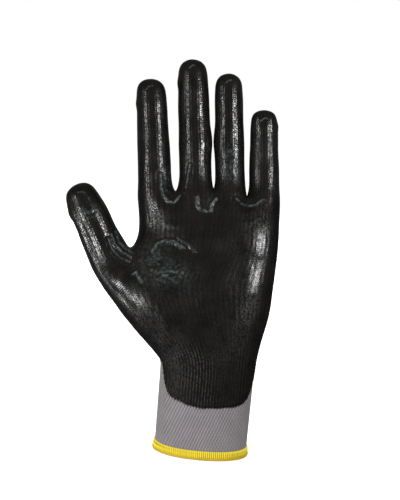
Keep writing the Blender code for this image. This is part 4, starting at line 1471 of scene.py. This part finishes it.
def chain_path(loop):
    points = []
    for step in range(CHAIN_PERIODS * CHAIN_POINTS):
        point, outward = loop.at(step / (CHAIN_PERIODS * CHAIN_POINTS))
        phase = math.tau * step / CHAIN_POINTS
        height = CHAIN_HEIGHT + CHAIN_SWING * math.sin(phase)
        offset = HEM_GAP + HEM_THICKNESS + CHAIN_OUT + CHAIN_SWAY * math.cos(phase)
        points.append(point + outward * offset + Vector((0, 0, height)))
    return points


def make_hem(loop, material):
    """The hem, with a chain of stitches along the lower edge of its wrapped band."""
    yarns = Yarns()
    # The band is painted dark, as painted shade, where it shows between the threads
    yarns.loft([band_ring(loop, ring / BAND_RINGS) for ring in range(BAND_RINGS)], True, BAND_SHADE)
    for number in range(THREAD_COUNT):
        lift = THREAD_LIFT * noise.noise(Vector((number * THREAD_LIFT_PACE, *THREAD_LIFT_PLACE)))
        path = thread_path(number / THREAD_COUNT, loop, lift, THREAD_DROP * (number % 2))
        yarns.tube(path, THREAD_RADIUS, THREAD_SIDES, False, THREAD_SHADES[number % len(THREAD_SHADES)])
    yarns.tube(chain_path(loop), CHAIN_RADIUS, THREAD_SIDES, True, CHAIN_SHADE)
    # Painted shade: the hem darkens towards its lower edge
    low = 1 - smooth(np.array([vert.z for vert in yarns.verts]), *HEM_SHADE_SPAN)
    yarns.shades = np.maximum(yarns.shades, HEM_LOW_SHADE * low)
    return yarns.piece("cuff_hem_threads", material)


def make_elastic(loop, material):
    """Rubber yarn laid round the inside of the cuff as one continuous spiral."""
    reach = LINER_THICKNESS + HEM_GAP + ELASTIC_RADIUS
    path = []
    for step in range(ELASTIC_TURNS * ELASTIC_STEPS + 1):
        turn = step / ELASTIC_STEPS
        height = ELASTIC_BOTTOM + ELASTIC_PITCH * turn
        share = height / WRIST_HEIGHT
        widening = blend(CUFF_HALF_WIDTH, WRIST_HALF_WIDTH, share) / CUFF_HALF_WIDTH
        deepening = blend(CUFF_HALF_DEPTH, WRIST_HALF_DEPTH, share) / CUFF_HALF_DEPTH
        point, outward = loop.at(turn, widening, deepening)
        path.append(point - outward * reach + Vector((0, 0, height)))
    yarns = Yarns()
    yarns.tube(path, ELASTIC_RADIUS, ELASTIC_SIDES, False)
    return yarns.piece("cuff_elastic_yarn", material)


# The sleeve's ribs and stitches: how round they are, and how low the one leg of a stitch lies under the other
RIB_POWER = 0.6
STITCH_POWER = 0.7
LEFT_LEG_LOW = 0.6
STITCH_FADE = 4 * MM

# The coating softens the ribs. Its relief starts at the heel of the hand, and a little inside its edge
COATED_RIB_SHARE = 0.8
SLEEVE_RELIEF = mm(-12, 10)
EDGE_RELIEF = 3 * MM

SUFFIXES = {"knit": "liner", "coating": "coat"}
NO_PIECE = -1


def add_pieces(source, numbers, slot, material):
    """Make the pieces of one layer from the piece number of each of its faces."""
    for number, piece in enumerate(PIECES):
        chosen = np.nonzero(numbers == number)[0]
        if len(chosen):
            obj = make_shell(f"{piece.name}_{SUFFIXES[slot]}_soft", source, chosen, material)
            place_piece(obj, piece, f"{piece.stands_for}_{SUFFIXES[slot]}")


def coated_only(numbers, surface, reach):
    """The same piece numbers, but none for the faces that the coating does not reach."""
    coated = [reach[face].max() > -COAT_MARGIN for face in surface.faces]
    return np.where(coated, numbers, NO_PIECE)


def build_sleeve(lower, heights, knit, coating):
    """Cuff and wrist: ribs that fade into the heel of the hand, with the coating's tongue over them."""
    surface, numbers, wale = sleeve_surface(lower, heights)
    normals = surface_normals(surface.points, surface.faces)
    upward = surface.points[:, 2]
    course = upward / COURSE_HEIGHT
    stitch = np.abs(np.sin(math.pi * (wale - course / RIGHT_LEG_COURSES))) ** STITCH_POWER
    stitch *= blend(LEFT_LEG_LOW, 1.0, np.abs(np.sin(math.pi * (wale + course / LEFT_LEG_COURSES))))
    stitch *= 1 - smooth(upward, STITCH_TOP - STITCH_FADE, STITCH_TOP)
    flat = np.zeros(len(upward))
    add_pieces(layer(surface, normals, stitch * STITCH_HEIGHT, -LINER_THICKNESS, flat), numbers, "knit", knit)
    height = to_hand(surface.points)[:, 2]
    ridge = np.abs(np.sin(math.pi * wale)) ** RIB_POWER * RIB_HEIGHT * (1 - smooth(height, *RIB_FADE))
    reach = sleeve_reach(surface.points, wale)
    wrinkle, tint = relief(surface.points, normals)
    share = smooth(height, *SLEEVE_RELIEF)
    offset = coat_offset(reach) + COATED_RIB_SHARE * ridge + wrinkle * share * smooth(reach, 0, EDGE_RELIEF)
    coat = layer(surface, normals, over_knit(offset, reach), COAT_INNER, tint * share)
    add_pieces(coat, coated_only(numbers, surface, reach), "coating", coating)
    return surface


def build_hand(skin, knit, coating):
    """The hand above the sleeve: a plain liner, and a finer coating with its creases."""
    surface = smooth_skin(skin, KNIT_LEVELS)
    normals = surface_normals(surface.points, surface.faces)
    flat = np.zeros(len(surface.points))
    add_pieces(layer(surface, normals, flat, -LINER_THICKNESS, flat), face_pieces(surface), "knit", knit)
    surface = smooth_skin(skin, COAT_LEVELS)
    normals = surface_normals(surface.points, surface.faces)
    reach = coat_reach(surface.points, point_zones(surface))
    wrinkle, tint = relief(surface.points, normals)
    offset = coat_offset(reach) + wrinkle * smooth(reach, 0, EDGE_RELIEF)
    coat = layer(surface, normals, over_knit(offset, reach), COAT_INNER, tint)
    add_pieces(coat, coated_only(face_pieces(surface), surface, reach), "coating", coating)


def build_glove():
    knit = knit_material()
    coating = coating_material()
    skin, lower, heights = glove_skin()
    sleeve = build_sleeve(lower, heights, knit, coating)
    build_hand(skin, knit, coating)
    loop = Loop(sleeve)
    for piece, node, slot in (
        (make_hem(loop, thread_material()), "cuff_hem", "binding"),
        (make_elastic(loop, elastic_material()), "cuff_elastic", "elastic"),
    ):
        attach(piece, "cuff")
        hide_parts(node)


# Stage
FLOOR_RADIUS = 6.0
FLOOR_GLOW = 0.93
CAMERA_DISTANCE = 0.8
CAMERA_SIDE = -5.25 * MM
CAMERA_HEIGHT = 66 * MM
VIEW_HEIGHT = 312 * MM
SENSOR = 36.0
WALL_STRENGTH = 0.10

# Soft boxes aimed at the palm: azimuth and elevation in degrees, distance, width, height, power, and whether
# the coating's gloss shows them. Azimuth 0 is in front of the palm, and grows towards +X
Light = namedtuple("Light", "azimuth elevation distance width height power mirrored")
LIGHTS = {
    "left_strip": Light(-47, 9, 0.9, 0.08, 0.20, 1.3, True),
    "right_strip": Light(43, 13, 0.9, 0.19, 0.14, 4.4, True),
    "thumb_strip": Light(-71, -31, 0.9, 0.12, 0.14, 2.6, True),
    "heel_strip": Light(-36, -13, 0.9, 0.17, 0.13, 3.6, True),
    "overhead": Light(0, 55, 1.1, 0.9, 0.6, 8.5, False),
    "rear_fill": Light(180, 30, 1.2, 0.9, 0.9, 13.0, False),
}
LIGHTS_TARGET = Vector((0, 0, 80 * MM))


def make_floor():
    bm = bmesh.new()
    bmesh.ops.create_circle(bm, cap_ends=True, radius=FLOOR_RADIUS, segments=128)
    mesh = bpy.data.meshes.new("floor")
    bm.to_mesh(mesh)
    bm.free()
    white = (1, 1, 1)
    make = Shading("floor", Roughness=0.9, Base_Color=(0.9, 0.9, 0.9), Emission_Color=white)
    mesh.materials.append(make.finish(Emission_Strength=FLOOR_GLOW))
    floor = new_object("floor", mesh)
    floor.visible_glossy = False
    floor.visible_diffuse = False
    floor.visible_shadow = False


def make_world():
    """White behind the object, but dim in what lights it, as in a studio with dark walls."""
    world = bpy.data.worlds.new("studio")
    world.use_nodes = True
    tree = world.node_tree
    background = tree.nodes["Background"]
    path = tree.nodes.new("ShaderNodeLightPath")
    strength = tree.nodes.new("ShaderNodeMapRange")
    strength.inputs["To Min"].default_value = WALL_STRENGTH
    strength.inputs["To Max"].default_value = 1.0
    tree.links.new(path.outputs["Is Camera Ray"], strength.inputs["Value"])
    background.inputs["Color"].default_value = (1, 1, 1, 1)
    tree.links.new(strength.outputs["Result"], background.inputs["Strength"])
    bpy.context.scene.world = world


def add_light(name, light):
    azimuth, elevation = math.radians(light.azimuth), math.radians(light.elevation)
    level = math.cos(elevation)
    way = Vector((math.sin(azimuth) * level, -math.cos(azimuth) * level, math.sin(elevation)))
    data = bpy.data.lights.new(name, "AREA")
    data.shape = "RECTANGLE"
    data.size = light.width
    data.size_y = light.height
    data.energy = light.power
    box = new_object(name, data)
    box.location = HAND @ LIGHTS_TARGET + way * light.distance
    box.rotation_euler = (-way).to_track_quat("-Z", "Y").to_euler()
    box.visible_glossy = light.mirrored


def make_camera():
    data = bpy.data.cameras.new("camera")
    data.sensor_width = SENSOR
    data.lens = SENSOR * CAMERA_DISTANCE / VIEW_HEIGHT
    camera = new_object("camera", data)
    place = Matrix.Translation((CAMERA_SIDE, -CAMERA_DISTANCE, CAMERA_HEIGHT))
    camera.matrix_world = HAND @ place @ Matrix.Rotation(math.pi / 2, 4, "X")
    bpy.context.scene.camera = camera


def make_stage():
    bpy.context.scene.view_settings.view_transform = "Standard"
    make_floor()
    make_world()
    for name, light in LIGHTS.items():
        add_light(name, light)
    make_camera()


build_glove()
make_stage()
